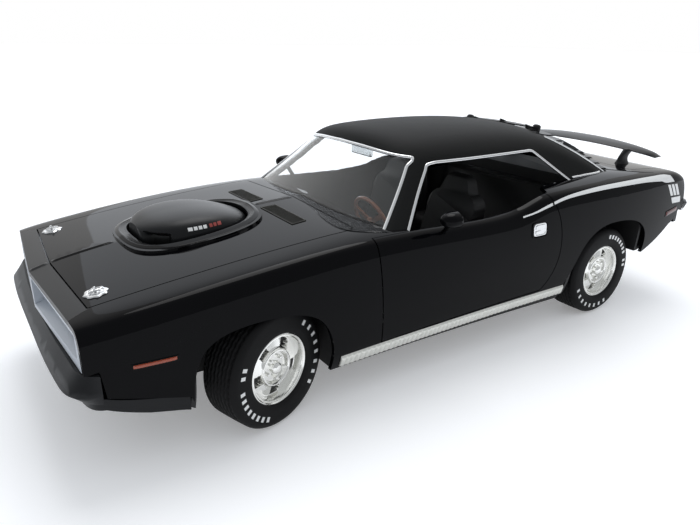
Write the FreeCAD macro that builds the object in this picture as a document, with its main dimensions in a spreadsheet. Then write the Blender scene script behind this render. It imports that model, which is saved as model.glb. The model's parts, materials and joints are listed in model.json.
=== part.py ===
"""Small-scale model of a two-door muscle car, built as a parametric document.

Frame: origin on the ground under the middle of the car, +Z up, the nose
points to -Y and the driver's side is +X. All lengths are in millimetres.
"""
import FreeCAD, Part
import math
import os

import Sketcher
from FreeCAD import Placement, Rotation, Vector

SIZES = [
    ("body_length", 266.0, "overall length over both bumpers"),
    ("body_width", 105.0, "width that the plan table follows"),
    ("belt_height", 55.0, "height that the lower body table follows"),
    ("roof_height", 78.4, "height of the roof poles over the ground"),
    ("glass_base", 46.0, "height where the glasshouse surface starts, hidden in the body"),
    ("sill_height", 12.0, "lowest edge of the body sides"),
    ("waist_height", 31.0, "height of the widest line of the side"),
    ("panel_wall", 1.4, "thickness of the body panels"),
    ("door_wall", 4.2, "thickness of a door"),
    ("roof_wall", 1.3, "thickness of the roof and its pillars"),
    ("glass_wall", 0.8, "thickness of the glazing"),
    ("glass_inset", 0.25, "how far the glazing lies under the roof skin"),
    ("shut_gap", 0.4, "gap round the doors and lids"),
    ("fit_gap", 0.1, "clearance between pieces that fit in each other"),
    ("overrun", 20.0, "how far a cutter runs past what it cuts"),
    ("front_axle", 79.6, "front axle ahead of the middle"),
    ("rear_axle_y", 72.8, "rear axle behind the middle"),
    ("axle_height", 18.3, "height of the wheel centres"),
    ("front_half_track", 43.0, "middle of a front tyre from the centre line"),
    ("rear_half_track", 43.6, "middle of a rear tyre from the centre line"),
    ("tyre_radius", 18.3, "outer radius of the tyres"),
    ("tyre_width", 13.8, "width of the tyres"),
    ("rim_radius", 11.0, "outer radius of the trim ring"),
    ("front_arch_span", 21.6, "half length of the front wheel opening"),
    ("front_arch_top", 36.2, "top of the front wheel opening over the ground"),
    ("arch_inner", 30.0, "where the wheel openings start, from the centre line"),
    ("rear_arch_span", 25.0, "half length of the rear wheel opening"),
    ("rear_arch_top", 40.4, "top of the rear wheel opening over the ground"),
    ("kingpin_x", 39.8, "steering axis from the centre line"),
    ("steer_angle", 17.8, "angle at which the parked wheels are turned, degrees"),
    ("hinge_in", 3.0, "door hinge axis inboard of the door's front corner"),
    ("hinge_ahead", 3.8, "door hinge axis ahead of the door's front corner"),
    ("hinge_pin_radius", 0.5, "radius of the hinge pins"),
    ("hinge_arm", 1.2, "width and height of the hinge arms"),
    ("door_inner_share", 0.888, "inner edge of the door top, share of the half width"),
    ("lid_hinge_drop", 2.9, "lid hinge axes under the body skin"),
    ("scoop_centre", 83.5, "middle of the scoop ahead of the middle of the car"),
    ("scoop_half_length", 17.6, "half length of the scoop"),
    ("scoop_half_width", 16.2, "half width of the scoop"),
    ("scoop_gap", 1.0, "clearance round the scoop"),
    ("seal_width", 4.2, "width of the raised seal round the scoop"),
    ("seal_height", 0.8, "height of the seal over the hood"),
    ("intake_depth", 10.0, "depth of the scoop's two intakes"),
    ("lamp_recess", 1.2, "depth of the tail lamp recesses"),
    ("shade_height", 1.9, "top of the rear glass shade over the roof skin"),
    ("shade_gap", 0.2, "underside of the shade over the roof skin"),
    ("shade_margin", 1.2, "distance of the shade from the glass opening"),
    ("blade_wall", 0.6, "thickness of the shade's blades"),
    ("grille_set", 0.3, "front of the grille behind the surround's rear edge"),
    ("grille_depth", 1.6, "depth of the grille bars"),
    ("grille_bar", 0.5, "thickness of a grille bar"),
    ("headlamp_radius", 2.3, "radius of a headlamp"),
    ("headlamp_crown", 7.0, "radius of a headlamp's domed front"),
    ("binnacle_radius", 3.6, "radius of the instrument hood"),
    ("binnacle_depth", 6.8, "length of the instrument hood"),
    ("seat_half_width", 12.8, "half width of a front seat"),
    ("steering_rim_radius", 9.2, "radius of the steering wheel at the middle of its rim"),
    ("steering_rim_grip", 0.7, "radius of the steering wheel's rim"),
    ("spoke_width", 1.8, "width of a steering wheel spoke"),
    ("spoke_wall", 0.7, "thickness of a steering wheel spoke"),
    ("column_radius", 0.9, "radius of the steering column"),
    ("mirror_round", 0.5, "rounding of the inner mirror"),
    ("mirror_stalk", 0.45, "radius of the inner mirror's stalk"),
    ("mirror_radius", 3.3, "radius of the door mirror's head"),
    ("mirror_foot", 0.8, "radius of the door mirror's foot"),
    ("moulding_height", 1.0, "how far the sill moulding stands out"),
    ("groove_width", 0.35, "width of a groove in the sill moulding"),
    ("wing_wall", 1.5, "thickness of the rear wing"),
    ("pedestal_half", 1.5, "half width of a wing pedestal"),
    ("fork_half_height", 6.2, "clear half height of the crossmember's forks"),
    ("fork_wall", 1.2, "thickness of the crossmember and of what turns on it"),
    ("kingpin_radius", 1.0, "radius of the kingpins"),
    ("knuckle_radius", 2.2, "radius of a knuckle"),
    ("spindle_radius", 1.5, "radius of the wheel spindles"),
    ("spindle_length", 6.4, "spindle end from the kingpin"),
    ("steering_arm_drop", 4.4, "steering arms under the axle"),
    ("steering_arm_half", 1.0, "half width of a steering arm"),
    ("stud_radius", 0.45, "radius of the steering arm's stud"),
    ("tie_rod_half", 0.7, "half width of the tie rod"),
    ("rod_play", 0.75, "play in the tie rod's open eye"),
    ("eye_wall", 0.45, "wall round an eye of the tie rod"),
    ("tread_side", 0.5, "bead of the tyre inside its side face"),
    ("wall_bulge", 1.2, "where the tyre's side reaches its full width"),
    ("shoulder_drop", 1.6, "drop of the tyre's shoulder"),
    ("shoulder_width", 1.5, "width of the tyre's shoulder"),
    ("hub_start", 6.3, "inner end of the hub from the tyre's inner face"),
    ("hub_radius", 3.2, "radius of the hub"),
    ("disc_start", 9.4, "inner face of the wheel disc"),
    ("disc_wall", 1.2, "thickness of the wheel disc"),
    ("rim_wall", 1.4, "thickness of the rim"),
    ("rim_start", 0.6, "inner edge of the rim"),
    ("rim_end", 13.2, "outer edge of the rim"),
    ("cap_start", 10.4, "inner face of the hub cap"),
    ("cap_end", 12.2, "outer face of the hub cap"),
    ("slot_inner", 5.4, "inner end of a wheel slot from the axle"),
    ("slot_outer", 7.6, "outer end of a wheel slot from the axle"),
    ("slot_half", 1.1, "half width of a wheel slot"),
    ("rear_reach", 46.6, "end of the rear spindle from the centre line"),
    ("axle_tube_reach", 33.0, "end of the axle tube from the centre line"),
    ("axle_tube_radius", 2.2, "radius of the axle tube"),
    ("differential_radius", 4.6, "radius of the differential"),
    ("engine_foot", 18.2, "underside of the engine"),
    ("engine_width", 22.0, "width of the engine"),
    ("engine_length", 40.0, "length of the engine"),
    ("scoop_foot", 43.2, "underside of the scoop"),
    ("screw_hole_radius", 1.25, "radius of the two screw holes in the pan"),
    ("screw_hole_top", 18.2, "end of the screw holes over the ground"),
    ("pipe_radius", 1.2, "radius of the exhaust pipes"),
    ("muffler_radius", 2.1, "radius of the mufflers"),
]

doc = FreeCAD.newDocument("muscle_car")
sheet = doc.addObject("Spreadsheet::Sheet", "sizes")
for row, (alias, number, words) in enumerate(SIZES, start=1):
    sheet.set("A%d" % row, words)
    sheet.set("B%d" % row, str(number))
    sheet.setAlias("B%d" % row, alias)
doc.recompute()
size = {alias: float(sheet.get(alias)) for alias, number, words in SIZES}

HALF_LENGTH = size["body_length"] / 2
HALF_WIDTH = size["body_width"] / 2
BELT = size["belt_height"]
WALL = size["panel_wall"]
GAP = size["shut_gap"]
FIT = size["fit_gap"]
OVER = size["overrun"]

# Lines plan of the lower body, one row for each station from nose to tail:
# place along the length, half width at the waist, height of the shoulder,
# of the hood or deck edge, and of the centre line, as shares of
# HALF_LENGTH, HALF_WIDTH and the belt height.
STATION_SHARES = [
    (-1.000, 0.907, 0.771, 0.778, 0.785),
    (-0.962, 0.933, 0.796, 0.805, 0.818),
    (-0.887, 0.960, 0.820, 0.831, 0.855),
    (-0.752, 0.981, 0.862, 0.873, 0.902),
    (-0.602, 0.990, 0.900, 0.913, 0.945),
    (-0.451, 0.985, 0.927, 0.945, 0.978),
    (-0.323, 0.977, 0.935, 0.967, 0.996),
    (-0.188, 0.975, 0.931, 0.956, 0.985),
    (-0.038, 0.977, 0.918, 0.942, 0.971),
    (0.090, 0.981, 0.916, 0.942, 0.971),
    (0.165, 0.987, 0.935, 0.964, 0.993),
    (0.233, 0.992, 0.996, 1.022, 1.040),
    (0.308, 0.998, 1.016, 1.044, 1.062),
    (0.436, 1.010, 1.020, 1.058, 1.076),
    (0.571, 1.015, 1.018, 1.062, 1.084),
    (0.692, 1.010, 1.015, 1.047, 1.073),
    (0.797, 0.996, 1.009, 1.029, 1.051),
    (0.887, 0.975, 0.998, 1.011, 1.029),
    (0.947, 0.956, 0.982, 0.989, 1.004),
    (0.989, 0.941, 0.927, 0.935, 0.945),
]
# Section of the lower body from sill to centre line. Side rows give the
# share of the waist half width and the share of the rise from sill to waist
# or from waist to shoulder. Top rows give the share of the half width and
# of the rise from hood edge to centre line.
LOW_ROW_SHARES = [(0.930, 0.0), (0.962, 0.17), (0.988, 0.50), (1.0, 1.0)]
HIGH_ROW_SHARES = [(0.998, 0.36), (0.985, 0.74), (0.957, 0.97), (0.905, 1.02)]
TOP_ROW_SHARES = [(0.790, 0.0), (0.560, 0.25), (0.270, 0.60), (0.0, 1.0)]

# Poles of the glasshouse skin, one list for each column from the base of the
# windshield over the roof to the base of the rear glass, and in each from
# the side base to the centre line, as shares of HALF_WIDTH, HALF_LENGTH and
# the rise from glass_base to roof_height.
GLASSHOUSE_SHARES = [
    [(0.941, -0.289, 0.000), (0.939, -0.303, 0.000), (0.931, -0.312, 0.000), (0.924, -0.317, 0.000),
     (0.762, -0.346, 0.000), (0.381, -0.365, 0.000), (0.000, -0.370, 0.000)],
    [(0.933, -0.226, 0.000), (0.867, -0.226, 0.185), (0.804, -0.225, 0.278), (0.781, -0.235, 0.309),
     (0.657, -0.274, 0.315), (0.333, -0.297, 0.321), (0.000, -0.303, 0.324)],
    [(0.926, -0.135, 0.000), (0.790, -0.135, 0.309), (0.667, -0.145, 0.586), (0.640, -0.156, 0.617),
     (0.524, -0.184, 0.673), (0.276, -0.203, 0.716), (0.000, -0.209, 0.728)],
    [(0.922, -0.068, 0.000), (0.789, -0.068, 0.355), (0.621, -0.094, 0.728), (0.583, -0.115, 0.769),
     (0.486, -0.147, 0.870), (0.257, -0.165, 0.938), (0.000, -0.171, 0.954)],
    [(0.922, -0.015, 0.000), (0.792, -0.015, 0.370), (0.646, -0.030, 0.710), (0.613, -0.045, 0.778),
     (0.495, -0.075, 0.907), (0.257, -0.086, 0.972), (0.000, -0.089, 0.988)],
    [(0.922, 0.075, 0.000), (0.800, 0.075, 0.370), (0.667, 0.075, 0.704), (0.640, 0.075, 0.775),
     (0.514, 0.075, 0.926), (0.267, 0.075, 0.988), (0.000, 0.075, 1.000)],
    [(0.922, 0.256, 0.000), (0.800, 0.256, 0.370), (0.672, 0.256, 0.698), (0.648, 0.256, 0.765),
     (0.524, 0.263, 0.914), (0.267, 0.263, 0.972), (0.000, 0.263, 0.985)],
    [(0.924, 0.391, 0.000), (0.806, 0.376, 0.340), (0.682, 0.368, 0.648), (0.659, 0.376, 0.710),
     (0.543, 0.383, 0.852), (0.267, 0.406, 0.914), (0.000, 0.414, 0.926)],
    [(0.926, 0.496, 0.000), (0.819, 0.466, 0.309), (0.724, 0.447, 0.549), (0.705, 0.459, 0.593),
     (0.610, 0.474, 0.710), (0.295, 0.504, 0.759), (0.000, 0.511, 0.772)],
    [(0.926, 0.602, 0.000), (0.848, 0.579, 0.216), (0.792, 0.564, 0.358), (0.773, 0.571, 0.401),
     (0.705, 0.602, 0.444), (0.324, 0.654, 0.432), (0.000, 0.669, 0.438)],
    [(0.926, 0.677, 0.000), (0.918, 0.692, 0.000), (0.903, 0.707, 0.000), (0.876, 0.718, 0.000),
     (0.800, 0.752, 0.000), (0.362, 0.805, 0.000), (0.000, 0.820, 0.000)],
]


def body_poles():
    """Poles of the left half of the lower body, station by station."""
    sill = size["sill_height"]
    waist = size["waist_height"]
    grid = []
    for along, wide, shoulder, edge, centre in STATION_SHARES:
        y = along * HALF_LENGTH
        x = wide * HALF_WIDTH
        top = shoulder * BELT
        low = [Vector(share * x, y, sill + rise * (waist - sill)) for share, rise in LOW_ROW_SHARES]
        high = [Vector(share * x, y, waist + rise * (top - waist)) for share, rise in HIGH_ROW_SHARES]
        crown = [Vector(share * x, y, (edge + rise * (centre - edge)) * BELT)
                 for share, rise in TOP_ROW_SHARES]
        grid.append(low + high + crown)
    return grid


def glasshouse_poles():
    """Poles of the whole glasshouse skin, side base to side base."""
    rise = size["roof_height"] - size["glass_base"]
    grid = []
    for column in GLASSHOUSE_SHARES:
        left = [Vector(x * HALF_WIDTH, y * HALF_LENGTH, size["glass_base"] + z * rise) for x, y,
                z in column]
        right = [Vector(-pole.x, pole.y, pole.z) for pole in reversed(left[:-1])]
        grid.append(left + right)
    return grid


def inset(grid, depth, flat):
    """Move each pole of a grid inwards along the net's normal.

    flat(i, j) gives the axes that a pole on a planar border keeps.
    """
    last_i = len(grid) - 1
    last_j = len(grid[0]) - 1
    moved = []
    for i, column in enumerate(grid):
        new_column = []
        for j, pole in enumerate(column):
            near_i = min(max(i, 1), last_i - 1)
            near_j = min(max(j, 1), last_j - 1)
            along = grid[min(i + 1, last_i)][near_j] - grid[max(i - 1, 0)][near_j]
            across = grid[near_i][min(j + 1, last_j)] - grid[near_i][max(j - 1, 0)]
            normal = along.cross(across)
            keep = flat(i, j)
            step = Vector(0 if "x" in keep else normal.x,
                          0 if "y" in keep else normal.y,
                          0 if "z" in keep else normal.z)
            step.normalize()
            new_column.append(pole - step * depth)
        moved.append(new_column)
    return moved


def spline_face(grid):
    """Cubic B-spline face through a grid of poles, clamped at its borders."""
    knots, counts = [], []
    for number in (len(grid), len(grid[0])):
        spans = number - 3
        knots.append([float(knot) for knot in range(spans + 1)])
        counts.append([4] + [1] * (spans - 1) + [4])
    surface = Part.BSplineSurface()
    surface.buildFromPolesMultsKnots(grid, counts[0], counts[1], knots[0], knots[1], False, False, 3, 3)
    return surface


def border(surface, direction, end):
    """Edge of a surface's border: direction u or v, end 0 or 1."""
    bounds = surface.bounds()
    if direction == "u":
        return surface.uIso(bounds[end]).toShape()
    return surface.vIso(bounds[2 + end]).toShape()


def closed_solid(faces):
    shell = Part.makeShell(faces)
    shell.sewShape()
    solid = Part.makeSolid(shell)
    if solid.Volume < 0:
        solid.reverse()
    return solid


def line(start, end):
    return Part.makeLine(start, end)


def flat_face(edges):
    return Part.Face(Part.Wire(Part.__sortEdges__(edges)))


def lower_half(depth):
    """Left half of the solid under the lower body skin, inset by depth."""
    grid = body_poles()
    last_i = len(grid) - 1
    last_j = len(grid[0]) - 1

    def flat(i, j):
        keep = ""
        if j == last_j:
            keep += "xy"
        if j == 0:
            keep += "yz"
        if i in (0, last_i):
            keep += "y"
        return keep

    if depth:
        grid = inset(grid, depth, flat)
    surface = spline_face(grid)
    front_sill, rear_sill = grid[0][0], grid[-1][0]
    front_top, rear_top = grid[0][-1], grid[-1][-1]
    front_foot = Vector(0, front_sill.y, front_sill.z)
    rear_foot = Vector(0, rear_sill.y, rear_sill.z)
    bottom = flat_face([border(surface, "v", 0), line(rear_sill, rear_foot),
                        line(rear_foot, front_foot), line(front_foot, front_sill)])
    centre = flat_face([border(surface, "v", 1), line(rear_top, rear_foot),
                        line(rear_foot, front_foot), line(front_foot, front_top)])
    front = flat_face([border(surface, "u", 0), line(front_top, front_foot),
                       line(front_foot, front_sill)])
    rear = flat_face([border(surface, "u", 1), line(rear_top, rear_foot), line(rear_foot, rear_sill)])
    return closed_solid([surface.toShape(), bottom, centre, front, rear])


def glasshouse(depth):
    """Solid under the glasshouse skin, inset by depth."""
    grid = glasshouse_poles()
    last_i = len(grid) - 1
    last_j = len(grid[0]) - 1

    def flat(i, j):
        return "z" if i in (0, last_i) or j in (0, last_j) else ""

    if depth:
        grid = inset(grid, depth, flat)
    surface = spline_face(grid)
    base = flat_face([border(surface, way, end) for way in "uv" for end in (0, 1)])
    return closed_solid([surface.toShape(), base])


# Side outlines, points given as shares of HALF_LENGTH (y) and of the belt
# height (z). Each inner list is one run: two points make a straight line,
# three an arc and more a smooth curve.
KEEP_SHARES = [[(-1.20, 0.589), (-0.937, 0.589)], [(-0.930, 0.455), (-0.777, 0.345)],
               [(-0.740, 0.10), (0.732, 0.10)], [(0.733, 0.418), (0.780, 0.462), (0.862, 0.560),
                                                 (0.941, 0.682)],
               [(1.20, 0.690), (1.20, 1.80)], [(-1.20, 1.80)]]
DOOR_SHARES = [[(-0.3330, 1.20), (-0.3060, 0.316)],
               [(0.2500, 0.349), (0.2920, 0.490), (0.3050, 0.655)],
               [(0.3050, 0.655), (0.2960, 0.815), (0.2640, 0.980)],
               [(0.2380, 1.20)]]
# Wheel openings, as shares of their half span and of their top height.
FRONT_ARCH_SHARES = [[(0.95, -0.10), (0.95, 0.50)],
                     [(0.95, 0.50), (0.88, 0.70), (0.70, 0.875), (0.44, 0.96), (0.02, 1.0), (-0.40, 0.995),
                      (-0.68, 0.96), (-0.90, 0.88), (-1.01, 0.76), (-1.06, 0.58)],
                     [(-1.08, -0.10)]]
REAR_ARCH_SHARES = [[(0.95, -0.10), (0.955, 0.54)],
                    [(0.955, 0.54), (0.985, 0.66), (0.955, 0.78), (0.79, 0.90), (0.49, 0.973), (0.09, 1.0),
                     (-0.30, 0.98), (-0.66, 0.86), (-0.87, 0.66), (-1.05, 0.44)],
                    [(-1.06, -0.10)]]
# Plan outlines, shares of HALF_WIDTH (x) and HALF_LENGTH (y), left half.
HOOD_SHARES = [[(0.0, -0.9450), (0.722, -0.9280)], [(0.736, -0.70), (0.743, -0.3650)],
               [(0.743, -0.3600), (0.735, -0.3440), (0.710, -0.3370)], [(0.0, -0.3370)]]
COWL_SHARES = [[(0.0, -0.3336), (0.8838, -0.3336)], [(0.8838, -0.2180), (0.845, -0.2180)],
               [(0.845, -0.2260), (0.80, -0.252), (0.571, -0.282), (0.0, -0.2895)]]
CABIN_SHARES = [[(0.0, -0.2895), (0.571, -0.282), (0.80, -0.252), (0.845, -0.2260)],
                [(0.845, -0.2180), (0.8838, -0.2180)], [(0.8838, 0.2720), (0.792, 0.2860)],
                [(0.785, 0.451), (0.730, 0.571)], [(0.686, 0.640), (0.0, 0.670)]]
DECK_SHARES = [[(0.0, 0.7220), (0.752, 0.7220)], [(0.781, 0.733), (0.781, 0.9490)], [(0.0, 0.9560)]]
SCOOP_HOLE_SHARES = [(0.0, -1.0), (0.42, -0.965), (0.73, -0.85), (0.92, -0.62), (0.99, -0.32), (1.0, 0.0),
                     (0.95, 0.36), (0.80, 0.70), (0.55, 0.91), (0.28, 0.985), (0.0, 1.0)]


def runs_face(runs, point):
    """Planar face from runs of 2D shares, placed by the function point."""
    edges = []
    previous = None
    for run in runs:
        corners = [point(a, b) for a, b in run]
        if previous is not None and (corners[0] - previous).Length > 1e-6:
            edges.append(line(previous, corners[0]))
        if len(corners) == 3:
            edges.append(Part.Arc(*corners).toShape())
        elif len(corners) > 3:
            curve = Part.BSplineCurve()
            curve.interpolate(corners)
            edges.append(curve.toShape())
        elif len(corners) == 2:
            edges.append(line(corners[0], corners[1]))
        previous = corners[-1]
    first = point(*runs[0][0])
    if (first - previous).Length > 1e-6:
        edges.append(line(previous, first))
    return Part.Face(Part.Wire(edges))


def side_prism(runs, start, end):
    """Prism along X of an outline in shares of HALF_LENGTH and the belt."""
    face = runs_face(runs, lambda a, b: Vector(start, a * HALF_LENGTH, b * BELT))
    return face.extrude(Vector(end - start, 0, 0))


def plan_prism(runs, start, end, push=0.0):
    """Prism along Z of an outline in shares of HALF_WIDTH and HALF_LENGTH."""
    face = runs_face(runs, lambda a, b: Vector(a * HALF_WIDTH, b * HALF_LENGTH, start))
    if push:
        face = grown(face, push)
    return face.extrude(Vector(0, 0, end - start))


def grown(face, push):
    return Part.Face(face.OuterWire.makeOffset2D(push))


def mirrored(shape):
    return shape.mirror(Vector(0, 0, 0), Vector(1, 0, 0))


def both(shape):
    """A left half and its mirror image as one solid."""
    return shape.fuse(mirrored(shape)).removeSplitter()


def box(low, high):
    return Part.makeBox(high.x - low.x, high.y - low.y, high.z - low.z, low)


skin_half = lower_half(0)
shell_half = skin_half.cut(lower_half(WALL))
shell_half = shell_half.common(side_prism(KEEP_SHARES, -OVER, HALF_WIDTH + OVER))

HIGH = size["roof_height"] + OVER
REACH = HALF_WIDTH + OVER
door_face = runs_face(DOOR_SHARES, lambda a, b: Vector(0, a * HALF_LENGTH, b * BELT))
door_clear = grown(door_face, GAP).extrude(Vector(REACH, 0, 0))


def arch_prism(runs, centre, span, top, start):
    face = runs_face(runs, lambda a, b: Vector(start, centre + a * span, b * top))
    return face.extrude(Vector(REACH - start, 0, 0))


front_arch = arch_prism(FRONT_ARCH_SHARES, -size["front_axle"], size["front_arch_span"],
                        size["front_arch_top"], size["arch_inner"])
rear_arch = arch_prism(REAR_ARCH_SHARES, size["rear_axle_y"], size["rear_arch_span"],
                       size["rear_arch_top"], size["arch_inner"])
nose_cut = runs_face([[(0.0, -0.9890), (1.20, -0.9560)], [(1.20, -1.30), (0.0, -1.30)]],
                     lambda a, b: Vector(a * HALF_WIDTH, b * HALF_LENGTH, 0)).extrude(Vector(0, 0, HIGH))
hood_area = plan_prism(HOOD_SHARES, 0, HIGH)
hood_clear = plan_prism(HOOD_SHARES, 0, HIGH, GAP)
deck_area = plan_prism(DECK_SHARES, 0, HIGH)
deck_clear = plan_prism(DECK_SHARES, 0, HIGH, GAP)
cowl_area = plan_prism(COWL_SHARES, 0, HIGH)
cabin_area = plan_prism(CABIN_SHARES, 0, HIGH)

NOSE_SHARES = [[(0.0, -0.900), (0.724, -0.900)], [(0.729, -0.925), (0.780, -0.970)],
               [(0.800, -1.20), (0.0, -1.20)]]
FILLER_SHARES = [[(0.0, 0.670), (0.686, 0.640)], [(0.781, 0.640), (0.781, 0.7185)], [(0.0, 0.7185)]]
FENDER_REAR_SHARE = -0.3336
PILLAR_SHARE = -0.218
ROCKER_SHARE = 0.316
TAIL_SHARE = 0.974
TAIL_STRIP_SHARES = [[(0.0, 0.9490), (0.781, 0.9490)], [(0.781, 0.974), (0.0, 0.974)]]


def zone(x_low, x_high, y_low, y_high, z_low, z_high):
    return box(Vector(x_low, y_low, z_low), Vector(x_high, y_high, z_high))


def biggest(shape):
    """The largest solid of a shape, without the crumbs of a cut."""
    return max(shape.Solids, key=lambda solid: solid.Volume)


FAR = HALF_LENGTH + OVER
tail_strip_zone = plan_prism(TAIL_STRIP_SHARES, size["waist_height"], HIGH)
fender_rear = FENDER_REAR_SHARE * HALF_LENGTH
rocker_top = ROCKER_SHARE * BELT
fender_zone = zone(0, REACH, -FAR, PILLAR_SHARE * HALF_LENGTH, 0, HIGH)
fender_zone = fender_zone.cut(zone(-OVER, REACH, fender_rear, 0, -OVER, rocker_top - GAP))
nose_zone = plan_prism(NOSE_SHARES, 0, HIGH)
filler_zone = plan_prism(FILLER_SHARES, 0, HIGH)
tail_cut = zone(-OVER, REACH, TAIL_SHARE * HALF_LENGTH, FAR, 0, HIGH)

fender = biggest(shell_half.common(fender_zone).cut(
    [door_clear, cowl_area, cabin_area, hood_clear, nose_zone, front_arch, nose_cut]))
body_side = biggest(shell_half.cut([fender_zone, door_clear, cowl_area, cabin_area, deck_clear, rear_arch,
                                    filler_zone, tail_cut, tail_strip_zone]))
upper = zone(-OVER, REACH, -FAR, FAR, size["waist_height"], HIGH)
cowl_half = biggest(shell_half.common(cowl_area).common(upper))
nose_half = biggest(shell_half.common(nose_zone).common(upper).cut([hood_clear, nose_cut]))
filler_half = biggest(shell_half.common(filler_zone).common(upper))
hood_half = biggest(shell_half.common(hood_area).common(upper))
deck_half = biggest(shell_half.common(deck_area).common(upper).cut(tail_cut))
door_shell = skin_half.cut(lower_half(size["door_wall"]))
door_area = door_face.extrude(Vector(REACH, 0, 0))
door_inner = size["door_inner_share"] * HALF_WIDTH
door_half = biggest(door_shell.common(door_area).common(zone(door_inner, REACH, -FAR, FAR, 0, HIGH)))


# Glasshouse openings: x as a share of HALF_WIDTH, y of HALF_LENGTH, z of the
# rise from glass_base to roof_height.
WINDSHIELD_SHARES = [[(0.0, -0.20), (0.950, -0.20)], [(0.8450, 0.110), (0.6000, 0.690)],
                     [(0.6000, 0.690), (0.5850, 0.745), (0.5400, 0.775)],
                     [(0.5400, 0.775), (0.2700, 0.825), (0.0, 0.840)]]
SIDE_WINDOW_SHARES = [[(-0.2350, 0.08), (-0.1000, 0.640)], [(-0.1000, 0.640), (-0.0880, 0.690),
                                                            (-0.0600, 0.708)],
                      [(0.2800, 0.716), (0.3000, 0.690)], [(0.4240, 0.300), (0.4240, -0.20)],
                      [(-0.30, -0.20), (-0.30, 0.0)]]
REAR_GLASS_SHARES = [[(0.0, 0.4330), (0.4500, 0.4230)], [(0.4500, 0.4230), (0.5050, 0.4280),
                                                         (0.5350, 0.4480)],
                     [(0.8000, 0.6330), (1.20, 0.690)], [(1.20, 1.20), (0.0, 1.20)]]
RISE = size["roof_height"] - size["glass_base"]


def glass_level(share):
    return size["glass_base"] + share * RISE


def whole(runs):
    """Outline of both sides from the left half, which starts and ends at x = 0."""
    return runs + [[(-a, b) for a, b in reversed(run)] for run in reversed(runs)]


def front_prism(runs, start, end, push=0.0):
    """Prism along Y of an outline in shares of HALF_WIDTH and the glass rise."""
    face = runs_face(whole(runs), lambda a, b: Vector(a * HALF_WIDTH, start, glass_level(b)))
    if push:
        face = grown(face, push)
    return face.extrude(Vector(0, end - start, 0))


windshield_hole = front_prism(WINDSHIELD_SHARES, -FAR, 0)
windshield_area = front_prism(WINDSHIELD_SHARES, -FAR, 0, -FIT)
side_window = runs_face(SIDE_WINDOW_SHARES, lambda a, b: Vector(REACH / 4, a * HALF_LENGTH, glass_level(b)))
side_window = side_window.extrude(Vector(REACH, 0, 0))
rear_hole = plan_prism(whole(REAR_GLASS_SHARES), size["glass_base"] - OVER, HIGH)
rear_area = plan_prism(whole(REAR_GLASS_SHARES), size["glass_base"] - OVER, HIGH, -FIT)
skin_full = both(skin_half)
roof = glasshouse(0).cut(glasshouse(size["roof_wall"])).cut(skin_full)
openings = [windshield_hole, rear_hole, side_window, mirrored(side_window)]
roof = biggest(roof.cut(openings))
glass_under = glasshouse(size["glass_inset"] + size["glass_wall"])
glass = glasshouse(size["glass_inset"]).cut(glass_under).cut(skin_full)
windshield = biggest(glass.common(windshield_area))
rear_glass = biggest(glass.common(rear_area))

# Places of the smaller pieces, as shares of HALF_WIDTH, HALF_LENGTH and the
# belt height, unless a comment says what else they follow.
WAIST_AT_HINGE_SHARE = 0.977
HINGE_LEVEL_SHARES = [0.44, 0.7727]
# Paths of the hinge arms, shares of hinge_ahead.
GOOSENECK_SHARES = [(0.0, 0.0), (-0.95, 0.55), (-0.85, 1.32), (-0.13, 2.18)]
LID_NECK_SHARES = [(0.0, 0.0), (-0.72, 0.70), (-0.55, 1.40), (0.40, 2.25)]
EAR_IN_SHARE = 0.24
EAR_AHEAD_SHARE = 0.75
LID_HINGE_SHARE = 0.5829
TAIL_SLAB_SHARES = [(-0.779, 0.9594, 0.9091), (0.779, 0.9729, 1.2727)]
TAIL_WIDE_SHARES = [(-0.9524, 0.9519, 0.5636), (0.9524, 0.9729, 0.9455)]
TAIL_REAR_SHARE = 0.9729
TAIL_LAMP_SHARES = [[(0.2667, 0.7745), (0.8381, 0.7745)], [(0.8667, 0.8), (0.8495, 0.8945)],
                    [(0.2667, 0.9018)]]
TAIL_RIB_SHARES = [[(0.4495, 0.9692, 0.7273), (0.4648, 0.985, 0.9455)],
                   [(0.64, 0.9692, 0.7273), (0.6552, 0.985, 0.9455)]]
SHADE_BLADES = 8
SHADE_LEVEL_SHARES = [1.0618, 1.3491]
SHADE_RAIL_SHARES = [-0.5714, -0.2857, 0.0, 0.2857, 0.5714]
SHADE_END_SHARE = 0.6617
# Stations of the scoop: place in shares of its half length, half width in
# shares of its half width, top in shares of the belt height.
SCOOP_STATION_SHARES = [(-0.985, 0.38, 0.9782), (-0.93, 0.56, 1), (-0.80, 0.78, 1.0255),
                        (-0.55, 0.94, 1.0509), (-0.25, 1.0, 1.0636), (0.05, 0.995, 1.0673),
                        (0.35, 0.95, 1.0618), (0.65, 0.84, 1.0455), (0.88, 0.64, 1.0164),
                        (0.985, 0.46, 0.9964)]
SCOOP_ROW_SHARES = [(1.0, 0.0), (1.0, 0.35), (1.0, 0.62), (0.93, 0.84), (0.74, 0.985), (0.45, 1.02),
                    (0.20, 1.0),
                    (0.0, 1.0)]
INTAKE_SHARES = [[(0.0229, 0.92), (0.2171, 0.92)], [(0.2171, 0.92), (0.24, 0.9527), (0.2171, 0.9855)],
                 [(0.0229, 0.9927)]]
FRONT_BUMPER_SHARES = [(0.5855, [(0.0, -0.9842), (0.4571, -0.9812), (0.7619, -0.9744), (0.9048, -0.9639),
                                 (0.96, -0.9391)]),
                       (0.5, [(0.0, -1.0075), (0.4571, -1.0068), (0.7619, -1.0015), (0.9219, -0.9865),
                              (0.9714, -0.9391)]),
                       (0.4436, [(0.0, -0.9865), (0.4571, -0.9842), (0.7238, -0.9805), (0.8838, -0.9692),
                                 (0.9562, -0.9391)])]
FRONT_BUMPER_INNER_SHARES = [(0.0, -0.9692), (0.4571, -0.9669), (0.7238, -0.9617), (0.8648, -0.9519),
                             (0.9219, -0.9391)]
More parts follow.
